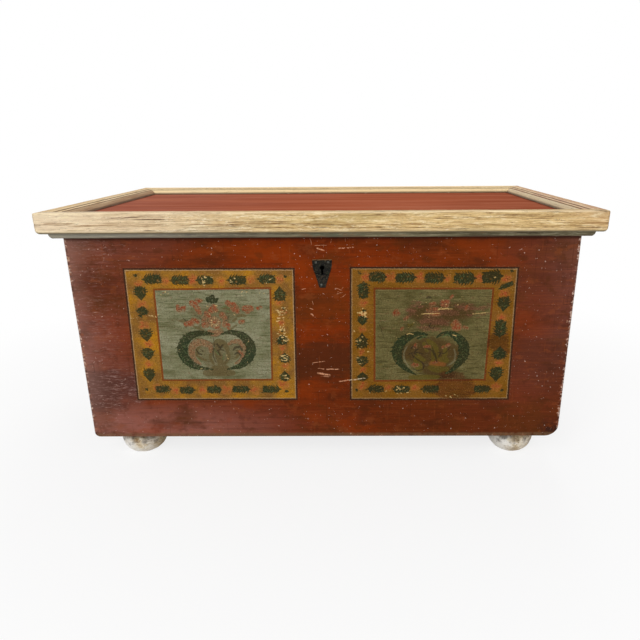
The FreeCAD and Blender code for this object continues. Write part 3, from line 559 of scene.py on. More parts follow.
def shieldFinish(wire):
    # Near-black iron with a few greenish and worn places, lighter along its top edge as a painted highlight,
    # painted shade round the keyhole, and cracked across
    at = wire.place()
    across, depth, height = at.parts()
    level = shield["level"]
    dents, pits, grit = at.cloud(210, 4.0, 0.65), at.cloud(620, 4.0, 0.7), at.cloud(430, 3.0, 0.75)
    low = height.rise(*((level - drop) * mm for drop in shield["worn"])) * dents.rise(0.46, 0.60)
    crack = abs(height - (level - shield["crack"]) * mm + (dents - 0.5) * 0.010 + across * 0.12)
    crack = crack.rise(0.0018, 0.0006)
    skin = dents * 0.6 + pits * 0.4
    colour = skin.coloured((0.40, (4, 4, 2)), (0.52, (16, 14, 8)), (0.64, (48, 44, 30))).coats(
        (at.cloud(90, 2.0).rise(0.56, 0.66) * 0.4, (38, 46, 26)),
        (grit.rise(0.54, 0.66) * 0.6, (84, 80, 66)),
        (grit.rise(0.46, 0.36) * 0.7, (5, 4, 3)),
        (wire.field("rim").rise(0.3, 1.0) * pits.rise(0.52, 0.40) * 0.7, (34, 12, 4)),
        # painted highlight along the top edge
        (height.rise((level - 1.6) * mm, (level - 0.6) * mm) * pits.rise(0.36, 0.50) * 0.75, (150, 108, 66)),
        (low * 0.4, (66, 52, 42)),
        (crack * 0.95, (2, 2, 1)),
        # painted shade round the keyhole's edge
        (wire.field("hole").rise(0.2, 1.0) * 0.8, (3, 3, 2)))
    return colour, 0.45 + pits * 0.3, dents * 1.0 + pits * 0.3 - crack * 0.8


def tillFinish(wire):
    # Bare planed wood, paler than the carcass inside, with its grain from front to back
    colour, grain = bareColour(wire.place(), 1)
    colour = colour.node("ShaderNodeMix", {0: 0.35, 6: colour, 7: tone((178, 142, 100))}, out=2,
                         data_type="RGBA")
    return colour, grain * 0.15 + 0.74, grain * 0.7


finishes = {
    "carcass": finish("redPaintedWood", carcassFinish, Specular_IOR_Level=0.06),
    "lidPanel": finish("lidPanelPaint", lidPanelFinish, Specular_IOR_Level=0.0),
    "limewash": finish("limewashedWood", limewashFinish, Specular_IOR_Level=0.2),
    "lip": finish("greyGreenPaint", lipFinish, Specular_IOR_Level=0.25),
    "foot": finish("chalkyFootWood", footFinish, Specular_IOR_Level=0.2),
    "till": finish("tillWood", tillFinish, Specular_IOR_Level=0.25),
    "blackIron": finish("blackHingeIron", ironFinish((24, 23, 22), (62, 59, 56), (84, 52, 34), (128, 124, 118)),
                        Metallic=0.75),
    "lockIron": finish("lockCaseIron", ironFinish((40, 38, 36), (86, 82, 77), (92, 58, 38), (150, 146, 138)),
                       Metallic=0.8),
    "nailIron": finish("nailIron", ironFinish((44, 44, 40), (104, 106, 98), (84, 68, 52), (168, 172, 160)),
                       Metallic=0.75),
    "shieldIron": finish("shieldIron", shieldFinish, Specular_IOR_Level=0.12),
}

dressing = {
    "carcass": ["board_lower", "board_upper", "bottom_board"], "lidPanel": ["lid_board"],
    "limewash": ["lid_rail"], "lip": ["lip_moulding"], "foot": ["foot_"], "till": ["till_"],
    "blackIron": ["hinge_leaf_", "hinge_strap_", "hinge_pin"],
    "lockIron": ["lock_", "bolt_", "key_", "lid_staple"], "shieldIron": ["escutcheon"], "nailIron": ["nails"],
}
for key, words in dressing.items():
    for name, piece in nodes.items():
        if any(word in name for word in words):
            piece.data.materials.clear()
            piece.data.materials.append(finishes[key])
print("finishes made:", len(finishes))


# Meshes from grids of points
def hills(u, v, seed, octaves=1):
    # Smooth random hills from -1 to 1: lattice numbers eased into each other, halved per octave
    total, size = 0.0, 1.0
    for octave in range(octaves):
        lattice = np.random.default_rng(seed + octave).uniform(-1, 1, (61, 61))
        fu, fv = u * 2 ** octave, v * 2 ** octave
        iu, iv = np.floor(fu).astype(int), np.floor(fv).astype(int)
        eu, ev = fu - iu, fv - iv
        eu, ev = eu * eu * (3 - 2 * eu), ev * ev * (3 - 2 * ev)
        a, b = lattice[iu % 61, iv % 61], lattice[(iu + 1) % 61, iv % 61]
        c, d = lattice[iu % 61, (iv + 1) % 61], lattice[(iu + 1) % 61, (iv + 1) % 61]
        total = total + size * ((a + (b - a) * eu) * (1 - ev) + (c + (d - c) * eu) * ev)
        size *= 0.5
    return total


def gridFaces(index, turns=0, around=0):
    # Four-cornered faces between the neighbours in a grid of point numbers, closed where asked
    index = np.pad(index, ((0, turns), (0, around)), mode="wrap")
    return np.stack([index[:-1, :-1], index[:-1, 1:], index[1:, 1:], index[1:, :-1]], axis=-1).reshape(-1, 4)


def piece(name, points, faces, material, body, slot, replaced, fields=None, flatFaces=0):
    # A closed mesh in metres. Faces are turned over if the enclosed volume comes out negative.
    shape = bpy.data.meshes.new(name)
    quads = np.array([face for face in faces if len(face) == 4])
    p, q, r, s = (points[quads[:, k]] for k in range(4))
    volume = (np.einsum("ij,ij->i", p, np.cross(q, r)) + np.einsum("ij,ij->i", p, np.cross(r, s))).sum()
    if volume < 0:
        faces = [face[::-1] for face in faces]
    shape.from_pydata((points * mm).tolist(), [], faces)
    smooth = np.ones(len(faces), bool)
    if flatFaces:
        smooth[-flatFaces:] = False
    shape.polygons.foreach_set("use_smooth", smooth)
    for key, values in (fields or {}).items():
        field = shape.attributes.new(key, "FLOAT", "POINT")
        field.data.foreach_set("value", values.astype(np.float32).ravel())
    shape.materials.append(material)
    made = bpy.data.objects.new(name, shape)
    scene.collection.objects.link(made)
    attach(made, body)
    if replaced:
        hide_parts(*replaced)
    return made


def tube(name, rings, material, body, slot, replaced, fields=None):
    # rings[i, j]: ring i along the piece, place j round it. The end rings get a flat face each.
    index = np.arange(rings.shape[0] * rings.shape[1]).reshape(rings.shape[:2])
    faces = gridFaces(index, around=1).tolist() + [index[0][::-1].tolist(), index[-1].tolist()]
    return piece(name, rings.reshape(-1, 3), faces, material, body, slot, replaced, fields, 2)


# Mouldings
def outline(section, spacing):
    # Points round a closed section of lines and arcs, an arc given by how far it stands to the left
    made = []
    last = np.array(section[-1][:2], float)
    for first, second, bulge in section:
        end = np.array([first, second], float)
        chord = end - last
        length = np.hypot(*chord)
        steps = max(2, int(np.ceil(length * (1 + abs(bulge) / length) / spacing)))
        share = np.arange(1, steps + 1) / steps
        left = np.array([-chord[1], chord[0]]) / length
        away, along = share * 0, share
        if bulge:
            radius = (length ** 2 / 4 + bulge ** 2) / (2 * abs(bulge))
            half = np.arcsin(min(1.0, length / 2 / radius))
            turn = (2 * share - 1) * half
            away = (radius * np.cos(turn) - radius * np.cos(half)) * np.sign(bulge)
            along = (np.sin(turn) / np.sin(half) + 1) / 2
        made.append(last + np.outer(along, chord) + np.outer(away, left))
        last = end
    return np.concatenate(made)


def moulding(name, section, settle, length, wear, look, seed):
    # The section, its corners worn soft, is carried along a line: settle(out, up, share) places it,
    # and share runs from end to end. Hills, dings and rubbed edges move its skin inwards.
    line = outline(section, wear["spacing"])
    line = sum(np.roll(line, shift, axis=0) for shift in (-1, 0, 1)) / 3
    x, y = line.T
    handed = np.sign((x * np.roll(y, -1) - np.roll(x, -1) * y).sum())
    tangent = np.roll(line, -1, axis=0) - np.roll(line, 1, axis=0)
    tangent /= np.hypot(*tangent.T)[:, None]
    inward = np.stack([-tangent[:, 1], tangent[:, 0]], axis=1) * handed
    before, after = line - np.roll(line, 2, axis=0), np.roll(line, -2, axis=0) - line
    bend = (before[:, 0] * after[:, 1] - before[:, 1] * after[:, 0]) * handed
    bend /= np.hypot(*before.T) * np.hypot(*after.T)
    around = np.cumsum(np.hypot(*(line - np.roll(line, 1, axis=0)).T))
    share = np.linspace(0, 1, int(length / wear["station"]) + 1)
    s, t = np.meshgrid(share * length, around, indexing="ij")
    arris, groove = np.clip(bend, 0, 1), np.clip(-bend, 0, 1)
    dings = np.clip(hills(s / 23, t / 9, seed + 5, 2) - 0.45, 0, 1)
    depth = (hills(s / 170, t / 30, seed, 2) + 1.2) * wear["wave"] \
        + hills(s / 34, t / 1.9, seed + 9, 2) * wear["grain"] \
        + arris[None, :] * (wear["rub"] * (1 + hills(s / 60, t / 12, seed + 3, 3)) + wear["ding"] * dings)
    out, up = (line[None, :, side] + inward[None, :, side] * depth for side in (0, 1))
    rings = np.stack(settle(out, up, share[:, None] + 0 * t), axis=-1)
    face = (y - y.min()) / np.ptp(y)
    panelSide = np.clip((x - wear["panelFrom"]) / wear["panelRun"], 0, 1) * (y > 20)
    fields = {"along": s * mm, "across": t * mm, "rail": 0 * s + seed * 0.37, "face": 0 * s + face,
              "arris": 0 * s + arris, "groove": 0 * s + groove, "panelSide": 0 * s + panelSide}
    return tube(name, rings, *look, fields)


railSection = [(24, 0, 0), (16.5, 0, 0), (15.5, -2.6, 0), (5.5, -2.6, 0), (0.2, 9, 1.9), (0, 41.5, 0),
               (2.5, 44, 0.8), (23.5, 44, 0), (25.2, 41, 0), (29.4, 41, 0), (31, 37.6, 0), (50, 27, 4.0),
               (50, 26, 0), (24, 26, 0)]  # inward from the outer face, up from the underside, an arc's rise
railWear = {"spacing": 1.5, "station": 3.0, "wave": 0.12, "grain": 0.12, "rub": 0.30, "ding": 1.5,
            "panelFrom": 31.0, "panelRun": 19.0}


def longRail(side, inward):
    return lambda inset, up, share: ((2 * share - 1) * (lidHalf - inset), side + inward * inset, lidUnder + up)


def sideRail(side):
    return lambda inset, up, share: (side * (lidHalf - inset),
                                     lidFront + inset + (backFace - lidFront - 2 * inset) * share, lidUnder + up)


railEnds = {"front": (longRail(lidFront, 1), 2 * lidHalf), "back": (longRail(backFace, -1), 2 * lidHalf),
            "left": (sideRail(-1), backFace - lidFront), "right": (sideRail(1), backFace - lidFront)}
for seed, (end, (settle, length)) in enumerate(railEnds.items()):
    moulding("lidRail" + end.capitalize(), railSection, settle, length, railWear,
             (finishes["limewash"], "lid", "limewashed_wood", ["lid_rail_" + end]), 11 + 4 * seed)
print("lid frame made")

lipSection = [(20, 0, 0), (20, -4, 0), (16.2, -13.2, 1.0), (14.6, -14.8, 0.3), (2, -14.8, 0), (2, 0, 0)]
lipWear = {"spacing": 1.2, "station": 3.0, "wave": 0.10, "grain": 0.05, "rub": 0.25, "ding": 0.8,
           "panelFrom": 99.0, "panelRun": 1.0, "sideLength": 618}


def frontLip(out, up, share):
    return (2 * share - 1) * (bodyHalf + out), frontFace - out, lidUnder + up


def sideLip(side):
    return lambda out, up, share: (side * (bodyHalf + out),
                                   frontFace - out + (backFace - frontFace + out) * share, lidUnder + up)


lipEnds = {"front": (frontLip, 2 * bodyHalf), "left": (sideLip(-1), lipWear["sideLength"]),
           "right": (sideLip(1), lipWear["sideLength"])}
for seed, (end, (settle, length)) in enumerate(lipEnds.items()):
    moulding("lipMoulding" + end.capitalize(), lipSection, settle, length, lipWear,
             (finishes["lip"], "lid", "grey_green_paint", ["lip_moulding_" + end]), 41 + 4 * seed)
print("lip mouldings made")


lipNail = {"head": 5.0, "crown": 1.8, "dome": 1.5, "shank": 2.0, "inset": 60.0, "reach": 8.0,
           "long": 5, "short": 3}  # sizes in millimetres, and how many nails a long and a short side have


def lipNails():
    # Forged nails up through the lips: a low four-sided head under each, its shank in the rail
    plan, level, top = lipNail, lidUnder + lipSection[-2][1], corners("lip_nails")[1][2]
    across = np.linspace(plan["inset"] - bodyHalf, bodyHalf - plan["inset"], plan["long"])
    deep = np.linspace(frontFace + plan["inset"], backFace - plan["inset"], plan["short"])
    seats = [(x, frontFace - plan["reach"]) for x in across]
    seats += [(side * (bodyHalf + plan["reach"]), y) for side in (-1, 1) for y in deep]
    square = np.array([(-1, -1), (1, -1), (1, 1), (-1, 1)]) / 2
    stack = [(plan["crown"], level - plan["dome"]), (plan["head"], level), (plan["shank"], level + 0.01),
             (plan["shank"], top)]
    rings = np.array([[(u * size, v * size, z) for u, v in square] for size, z in stack])
    index = np.arange(16).reshape(4, 4)
    faces = np.concatenate([gridFaces(index, around=1), [index[0][::-1]], [index[-1]]])
    points = np.concatenate([rings.reshape(-1, 3) + (x, y, 0) for x, y in seats])
    faces = np.concatenate([faces + 16 * number for number in range(len(seats))])
    return piece("lipNails", points, faces.tolist(), finishes["nailIron"], "lid", "nail_iron",
                 ["lip_nails"], None, len(faces))


lipNails()
print("lip mouldings nailed")


# Feet
def bunSide(radius, level, steps):
    # Arc from the belly to the given radius and level, upright at the belly
    run, climb = footShape["belly"] - radius, level - footShape["bellyLevel"]
    size = (run ** 2 + climb ** 2) / (2 * run)
    turn = np.sign(climb) * np.arccos(1 - run / size) * np.arange(1, steps + 1) / steps
    return np.stack([footShape["belly"] - size * (1 - np.cos(turn)),
                     footShape["bellyLevel"] + size * np.sin(turn)], axis=1)


def turnedFoot(name, node, seed):
    # Radius by height, turned round the foot's axis, with a chipped base and a slight swell
    low, high = corners(node)
    middle = (low + high) / 2
    shape, collar = footShape, footShape["collar"]
    line = np.concatenate([
        np.linspace(0.02, 0.98, 10)[:, None] * [[shape["base"], 0]], bunSide(shape["base"], 0, 26)[::-1],
        [[shape["belly"], shape["bellyLevel"]]], bunSide(shape["neck"], shape["collarLevel"], 22),
        [[collar - 1.2, shape["collarLevel"]], [collar, shape["collarLevel"] + 1.2], [collar, baseLevel - 0.5],
         [collar - 0.6, baseLevel - 0.02], [shape["tenon"], baseLevel - 0.02], [shape["tenon"], high[2]]]])
    turn = np.linspace(0, 2 * np.pi, shape["around"], endpoint=False)
    level, angle = np.meshgrid(line[:, 1], turn, indexing="ij")
    radius = line[:, :1] + 0 * angle
    u, v = np.cos(angle) * 3 + 7, np.sin(angle) * 3 + 7
    swell = hills(u, v + level / 30, seed, 3) * 0.5 - 0.5
    lathe = hills(u * 0.2, level / 2.2, seed + 4, 2) * 0.16
    chips = np.clip(hills(u * 2.2, v * 2.2 + level / 9, seed + 7, 3) - 0.55, 0, 1)
    outer = np.clip((radius - 20) / 15, 0, 1) * (level < baseLevel - 9)
    radius = radius + outer * (swell + lathe - chips * shape["crumble"])
    rings = np.stack([middle[0] + radius * np.cos(angle), middle[1] + radius * np.sin(angle), level], axis=-1)
    return tube(name, rings, finishes["foot"], "chest", "foot_wood", [node])


for seed, place in enumerate(["front_left", "front_right", "back_left", "back_right"]):
    turnedFoot("foot" + place.title().replace("_", ""), "foot_" + place, 71 + 9 * seed)
print("feet turned")


# Escutcheon
def shieldPlate():
    # Rings from the keyhole's edge out to the shield's edge, over the front, round the rim and behind
    low, high = corners("escutcheon")
    top, tip, s = high[2], low[2], shield
    centre, shoulder = top - s["holeDrop"], top - s["shoulderDrop"]
    turn = np.linspace(0, 2 * np.pi, s["around"], endpoint=False) - np.pi / 2
    along, up = np.cos(turn), np.sin(turn)
    section = [(s["tip"], tip, 0), (s["shoulder"], shoulder, 0), (s["top"], top, -s["bow"]),
               (-s["top"], top, 0), (-s["shoulder"], shoulder, -s["bow"]), (-s["tip"], tip, 0)]
    rim = outline(section, 0.4) - [0, centre]
    rimTurn = np.arctan2(rim[:, 1], rim[:, 0])
    order = np.argsort(rimTurn)
    wrapped = np.arctan2(up, along)
    reach = np.interp(wrapped, rimTurn[order], np.hypot(*rim[order].T), period=2 * np.pi)
    down = np.clip(-up, 1e-6, 1)
    slot = np.where((up < 0) & (s["slotDrop"] * np.abs(along) / down < s["slotHalf"]), s["slotDrop"] / down,
                    s["slotHalf"] / np.clip(np.abs(along), 1e-6, 1))
    inner = np.where((up < 0) & (slot > s["hole"]), slot, s["hole"])
    share = np.concatenate([[0, 0.008, 0.03], np.linspace(0.07, 0.93, 26), [0.97, 0.992, 1]])[:, None]
    radius = inner + (reach - inner) * share
    nick = np.clip(hills(wrapped * 5, wrapped * 0 + 3, 5, 2) - 0.5, 0, 1) * 0.8
    radius -= np.clip((share - 0.8) / 0.2, 0, 1) * nick
    x, z = radius * along, centre + radius * up
    roll = np.clip(np.minimum(share / 0.03, (1 - share) / 0.03), 0, 1)
    band = np.abs(z - (shoulder - 1 + hills(x / 9, x * 0, 3)))
    thick = s["thick"] * (0.55 + 0.45 * np.sqrt(roll)) - 0.8 * np.exp(-(band / 0.9) ** 2)
    thick = thick - 0.25 * (z < shoulder - 1) - s["dent"] * (0.5 + hills(x / 3.2 + 9, z / 3.2, 8, 3)) * roll
    frontSide = np.stack([x, frontFace - np.maximum(thick, 0.4), z], axis=-1)
    back = np.stack([x[[-1, 0]], np.full((2, len(turn)), frontFace + 0.02), z[[-1, 0]]], axis=-1)
    rings = np.concatenate([frontSide, back])
    faces = gridFaces(np.arange(len(rings) * len(turn)).reshape(len(rings), len(turn)), 1, 1)
    plain = np.zeros((2, len(turn)))
    fields = {"rim": np.concatenate([0 * x + np.clip((share - 0.9) / 0.1, 0, 1), plain]),
              "hole": np.concatenate([0 * x + np.clip(1 - share / 0.10, 0, 1), plain])}
    return piece("shieldPlate", rings.reshape(-1, 3), faces.tolist(), finishes["shieldIron"], "chest",
                 "black_iron", ["escutcheon"], fields)


shieldPlate()
print("escutcheon made")


# Painted panels
panels = {
    "left": {
        "outer": [(-451, 499), (-62, 498), (-66, 168), (-457, 168)],
        "inner": [(-384, 447), (-121, 449), (-127, 224), (-387, 223)],
        # middle, direction of the tip in degrees, length and width
        "leaves": [(-388, 473, 183, 42, 25), (-325, 470, 180, 42, 25), (-268, 470, 180, 38, 24),
            (-195, 470, 180, 42, 26), (-127, 472, 178, 40, 25), (-417, 439, 270, 32, 31),
            (-416, 337, 270, 31, 31), (-417, 289, 270, 28, 31), (-420, 235, 270, 34, 31), (-390, 198, 0, 38, 22),
            (-332, 195, 0, 36, 23), (-266, 196, 0, 34, 23), (-201, 197, 0, 42, 22), (-128, 197, 0, 44, 23),
            (-98, 438, 90, 32, 31), (-97, 326, 90, 24, 28), (-93, 280, 90, 24, 26), (-95, 232, 90, 24, 28),
            (-417, 399, 80, 18, 28)],
        # middle, size and direction
        "blossoms": [(-418, 463, 14, 30), (-357, 468, 15, 0), (-297, 472, 18, 90), (-229, 468, 16, 0),
            (-163, 472, 15, 180), (-97, 471, 15, 0), (-417, 414, 17, 90), (-418, 362, 16, 60), (-414, 315, 17, 0),
            (-419, 263, 15, 90), (-404, 202, 18, 150), (-362, 195, 17, 0), (-298, 195, 15, 0),
            (-238, 197, 18, 180), (-169, 195, 17, 90), (-99, 209, 20, 120), (-100, 416, 15, 0), (-97, 366, 14, 0),
            (-97, 305, 12, 90), (-92, 258, 13, 90)],
        # middle, size and direction
        "sprigs": [(-424, 479, 14, 90), (-86, 476, 12, 45), (-429, 199, 13, 225), (-92, 194, 13, 270),
            (-91, 400, 12, 80), (-422, 387, 14, 240), (-98, 345, 12, 60)],
        # middle, spread and count of the chips that show the pale ground
        "dabs": [(-97, 388, 10, 14, 46), (-96, 350, 9, 12, 30), (-95, 326, 9, 9, 16), (-93, 280, 9, 12, 26),
            (-96, 236, 9, 9, 10), (-268, 472, 15, 8, 14), (-195, 470, 14, 7, 4), (-127, 470, 14, 7, 3),
            (-388, 473, 14, 7, 2), (-435, 380, 26, 2, 7), (-400, 386, 20, 2, 8), (-240, 390, 60, 40, 14),
            (-160, 440, 30, 8, 10), (-370, 440, 12, 6, 8)],
        "swell": {"pink": 1.3, "coral": 1.35},
        "middle": (-256, 335),
        "strokes": {  # each stroke's points from the middle: along, up and half its width
            "garland": [
                (-3, 5, 2.5, -19, 7, 5, -39, 6, 7.5, -60, -2, 10.1, -75, -20, 11.3, -79, -40, 11.9, -72, -60,
                 10.7, -57, -75, 8.2, -37, -82, 5, -10, -85, 1.6),
                (18, 5, 2.2, 35, 9, 5, 55, 6, 7.5, 72, -6, 10.7, 83, -24, 11.9, 83, -42, 11.9, 73, -61, 10.7, 58,
                 -75, 7.5, 42, -81, 4.4, 25, -85, 1.6)],
            "pink": [
                (-12, -39, 3.1, -12, -25, 5.3, -24, -18, 6.6, -41, -16, 6.9, -54, -27, 6.3, -57, -43, 5.7, -52,
                 -60, 4.4, -38, -72, 2.2),
                (33, -20, 2.8, 45, -14, 4.4, 60, -16, 5, 68, -29, 4.7, 67, -45, 4.4, 59, -61, 3.5, 45, -70, 1.9),
                (-17, 27, 5.7, -20, 41, 5, -12, 53, 4.7), (26, 27, 5, 29, 42, 4.7, 23, 53, 4.7),
                (-9, 9, 5.7, 3, 6, 6.3, 15, 12, 5.7), (3, 34, 11.3, 4, 33, 10.7)],
            "coral": [(56, -38, 1.6, 63, -47, 1.4), (-22, 27, 3.8, -23, 37, 2.8), (-13, 56, 4.1, -9, 49, 2.8),
                (22, 52, 4.4, 27, 46, 2.8), (33, 27, 3.5, 35, 19, 2.2), (3, 34, 2.8, 4, 34, 2.5),
                (-4, 63, 3.8, 3, 74, 2.8), (6, 65, 3.5, 5, 74, 2.5), (-77, 68, 4.7, -80, 74, 2.5),
                (-68, 68, 4.1, -64, 72, 2.2), (-46, 82, 4.1, -38, 77, 3.8), (-32, 87, 3.8, -26, 87, 2.8),
                (-34, 68, 4.1, -31, 59, 3.1), (-40, 74, 2.8, -35, 70, 2.8), (-64, 30, 3.5, -54, 32, 4.4),
                (-46, 40, 3.8, -38, 36, 3.5), (36, 82, 3.8, 41, 77, 3.8), (49, 77, 4.1, 50, 67, 4.4),
                (56, 70, 3.5, 57, 60, 2.8), (74, 68, 4.1, 88, 68, 4.1), (80, 61, 3.5, 82, 70, 3.8),
                (63, 35, 3.1, 68, 37, 2.8), (105, 68, 2.2, 112, 71, 1.9)],
            "olive": [(-35, -26, 2.5, -44, -34, 4.1, -45, -46, 4.4, -38, -56, 3.8, -25, -62, 2.5),
                (47, -56, 2.5, 54, -46, 3.8, 52, -38, 2.8),
                (-1, -20, 5, 11, -16, 9.4, 24, -24, 6.9, 28, -34, 4.4),
                (12, -16, 6.3, 4, -38, 7.5, 8, -56, 8.2, 9, -73, 6.9),
                (-6, -34, 4.4, -14, -53, 3.8, -8, -71, 3.1), (28, -38, 4.4, 30, -56, 3.8, 19, -71, 3.8),
                (-27, -95, 8.2, 5, -93, 9.4, 36, -95, 7.5), (-6, -82, 6.9, 22, -82, 6.9),
                (26, 69, 3.1, 36, 70, 4.4, 39, 65, 3.1), (-14, 65, 1.9, -8, 56, 2.5),
                (12, 65, 1.9, 17, 58, 2.8, 22, 60, 1.9), (57, 48, 2.5, 68, 51, 3.8, 76, 49, 2.5),
                (47, 37, 3.1, 54, 42, 3.1), (-78, 37, 2.8, -70, 37, 3.8, -65, 23, 2.8),
                (-34, 23, 3.1, -29, 27, 3.1), (-45, 23, 2.8, -25, 14, 2.5), (35, 14, 2.5, 53, 26, 2.5)],
            "line": [(42, -36, 1.9, 48, -29, 3.1, 59, -29, 2.8, 63, -37, 1.9),
                (44, -47, 1.2, 52, -43, 2.4, 59, -49, 1.6), (-46, -33, 1, -41, -43, 2.4, -34, -47, 1.6),
                (-36, -33, 0.8, -30, -39, 1.4), (4, -21, 2.2, 12, -29, 2.8, 18, -23, 1.8),
                (4, -35, 1.2, 10, -49, 2), (-3, -5, 0.6, -2, -27, 0.9, -7, -49, 1.3, -1, -67, 0.9),
                (20, -38, 0.9, 11, -34, 1.6, 2, -40, 0.9), (-69, 44, 0.9, -63, 37, 1.3, -56, 43, 0.6),
                (-42, 51, 0.6, -29, 44, 0.9, -17, 34, 0.6), (38, 51, 0.6, 34, 41, 0.9, 23, 34, 0.6)],
            "leaf": [(-8, 84, 2.8, -10, 91, 3.5, -7, 94, 2.2), (-1, 82, 2.8, -2, 93, 3.8, 2, 99, 2.2),
                (4, 82, 2.5, 6, 91, 3.5, 5, 99, 1.9), (10, 83, 2.8, 12, 89, 3.5, 15, 91, 2.2)],
            "leafLight": [(-2, -35, 1.2, 6, -47, 2), (20, -45, 1.2, 16, -59, 1.8), (-44, -55, 1.2, -34, -65, 1.8),
                (21, 69, 1.6, 31, 72, 2.2, 39, 69, 1.6), (30, 62, 1.6, 37, 59, 2.2, 43, 61, 1.6)],
            "cream": [(25, -47, 0.3, 28, -59, 0.6)],
            "shade": [(-44, -39, 22, 1, -45, 34, 51, -37, 22), (1, -73, 30, 6, -85, 26),
                (-34, 57, 16, 6, 49, 30, 51, 57, 16)],
        },
    },
    "right": {
        "outer": [(62, 500), (443, 498), (446, 167), (61, 167)],
        "inner": [(120, 447), (387, 446), (383, 222), (122, 220)],
        "leaves": [(126, 476, 0, 38, 27), (189, 474, 2, 46, 27), (255, 473, 0, 46, 28), (323, 472, 0, 48, 31),
            (385, 475, 5, 44, 33), (93, 446, 90, 38, 28), (90, 322, 90, 37, 31), (91, 268, 270, 26, 28),
            (91, 230, 90, 20, 27), (123, 197, 180, 38, 23), (185, 196, 180, 40, 23), (254, 196, 180, 42, 24),
            (381, 196, 0, 42, 22), (417, 454, 205, 34, 14), (415, 410, 270, 34, 32), (412, 350, 270, 40, 32),
            (415, 290, 90, 31, 34), (411, 234, 270, 37, 34), (91, 371, 270, 22, 24)],
        "blossoms": [(98, 476, 17, 180), (157, 474, 20, 0), (222, 474, 18, 0), (283, 472, 13, 0),
            (357, 473, 19, 90), (418, 471, 16, 30), (93, 415, 16, 0), (91, 350, 13, 0), (89, 293, 13, 90),
            (92, 248, 12, 90), (93, 206, 17, 30), (154, 200, 15, 0), (217, 200, 15, 0), (415, 201, 19, 150),
            (416, 436, 17, 0), (413, 377, 18, 90), (415, 264, 15, 90), (93, 388, 13, 90)],
        "sprigs": [(82, 484, 12, 45), (426, 486, 12, 60), (80, 195, 12, 200), (427, 195, 13, 290),
            (95, 392, 14, 90)],
        "dabs": [(94, 388, 9, 9, 30), (90, 322, 9, 12, 12), (91, 268, 8, 8, 10), (185, 196, 10, 6, 16),
            (385, 475, 14, 9, 6), (310, 183, 14, 5, 8), (100, 300, 20, 40, 8), (290, 412, 60, 14, 16),
            (250, 360, 60, 30, 12), (150, 185, 60, 6, 8)],
        "swell": {"pale": 0.55, "coral": 1.15, "stain": 1.35},
        "middle": (254, 335),
        "strokes": {
            "garland": [
                (-12, 1, 2.5, -29, 4, 5, -52, -3, 8.8, -72, -19, 11.9, -81, -39, 12.6, -78, -61, 10.1, -64, -81,
                 6.3, -46, -94, 3.5, -32, -102, 0.9),
                (11, -6, 1.9, 24, 3, 4.7, 47, 2, 7.5, 70, -16, 11.3, 77, -35, 12.6, 74, -57, 11.3, 60, -79, 6.9,
                 46, -93, 3.8, 34, -98, 1.3)],
            "coral": [(5, -70, 1.6, 14, -66, 1.6), (-16, -28, 2.5, -6, -28, 2.2), (26, -30, 2.2, 40, -23, 2.2),
                (-42, -75, 3.5, -33, -75, 2.5), (-40, -28, 2.8, -38, -22, 1.9),
                (-89, 54, 3.5, -85, 62, 2.5, -81, 54, 2.8), (-65, 40, 2.5, -60, 45, 2.2),
                (-7, 76, 2.8, 2, 78, 2.5), (-12, 63, 3.1, 8, 64, 3.1), (22, 81, 3.8, 32, 82, 3.1),
                (21, 74, 3.1, 30, 73, 2.8), (-5, 53, 2.5, 12, 52, 2.8), (52, 32, 4.4, 58, 24, 4.7),
                (50, 18, 3.5, 61, 18, 3.5), (73, 20, 2.2, 80, 18, 1.9), (74, 64, 2.5, 77, 71, 2.2),
                (38, 91, 1.9, 42, 96, 1.9), (-73, 15, 1.9, -70, 19, 1.9)],
            "pale": [(-58, -28, 2.8, -65, -46, 3.8, -62, -64, 3.8, -52, -81, 2.5),
                (53, -35, 3.1, 57, -50, 3.8, 53, -68, 3.8, 40, -77, 2.8), (-26, -67, 0.5, -10, -77, 1.1)],
            "olive": [(-34, -60, 7, -31, -76, 10, -26, -87, 7), (22, -62, 6, 36, -64, 7),
                (-48, -108, 5, -14, -108, 7, 18, -107, 5), (-34, -50, 5, -27, -57, 5.7, -17, -63, 4.4),
                (-9, -14, 5, 5, -28, 8.2, 9, -46, 9.4, 8, -61, 8.2), (-18, -21, 4.4, -11, -39, 4.4),
                (29, -28, 4.4, 33, -46, 6.3, 27, -64, 4.4), (1, -83, 7.5, 18, -87, 8.8, 38, -87, 6.3),
                (-57, 26, 3.1, -53, 22, 4.1, -47, 27, 2.8)],
            "line": [
                (-54, -50, 0.9, -48, -45, 1.3, -41, -55, 1.6, -27, -65, 1.6, -17, -75, 1.6, -19, -86, 1.6, -31,
                 -90, 1.3, -42, -85, 0.9), (-48, -45, 1.3, -34, -44, 1.3, -21, -47, 0.9),
                (-48, -33, 2.2, -43, -28, 2.2, -38, -33, 1.6), (8, -59, 0.6, 14, -67, 1.6),
                (-2, -35, 0.6, 8, -51, 1.8, 12, -61, 0.8), (26, -39, 0.5, 18, -53, 1.6),
                (-32, -35, 1.8, -40, -43, 2.6, -34, -51, 1.4), (0, -28, 0.9, 10, -50, 1.6, 14, -64, 0.9),
                (16, -43, 1.3, 30, -46, 1.6, 39, -37, 1.3, 42, -28, 0.6),
                (-15, -33, 0.9, -1, -37, 1.6, 6, -46, 1.3), (-15, 91, 2.2, -11, 93, 2.5, -6, 91, 1.6),
                (-4, 29, 1.3, -8, 22, 1.6, 0, 17, 1.3, 5, 23, 0.9), (-60, 26, 0.9, -53, 20, 1.3, -48, 26, 0.9),
                (-126, 33, 0.6, -119, 15, 0.9, -112, -10, 0.6)],
            "leaf": [(-34, -8, 2.5, -26, -5, 2.8, -16, -4, 1.9)],
            "leafLight": [(-29, -11, 1.9, -19, -3, 1.9, -12, -5, 1.3), (24, -5, 1.9, 34, 1, 1.9, 42, -2, 1.3)],
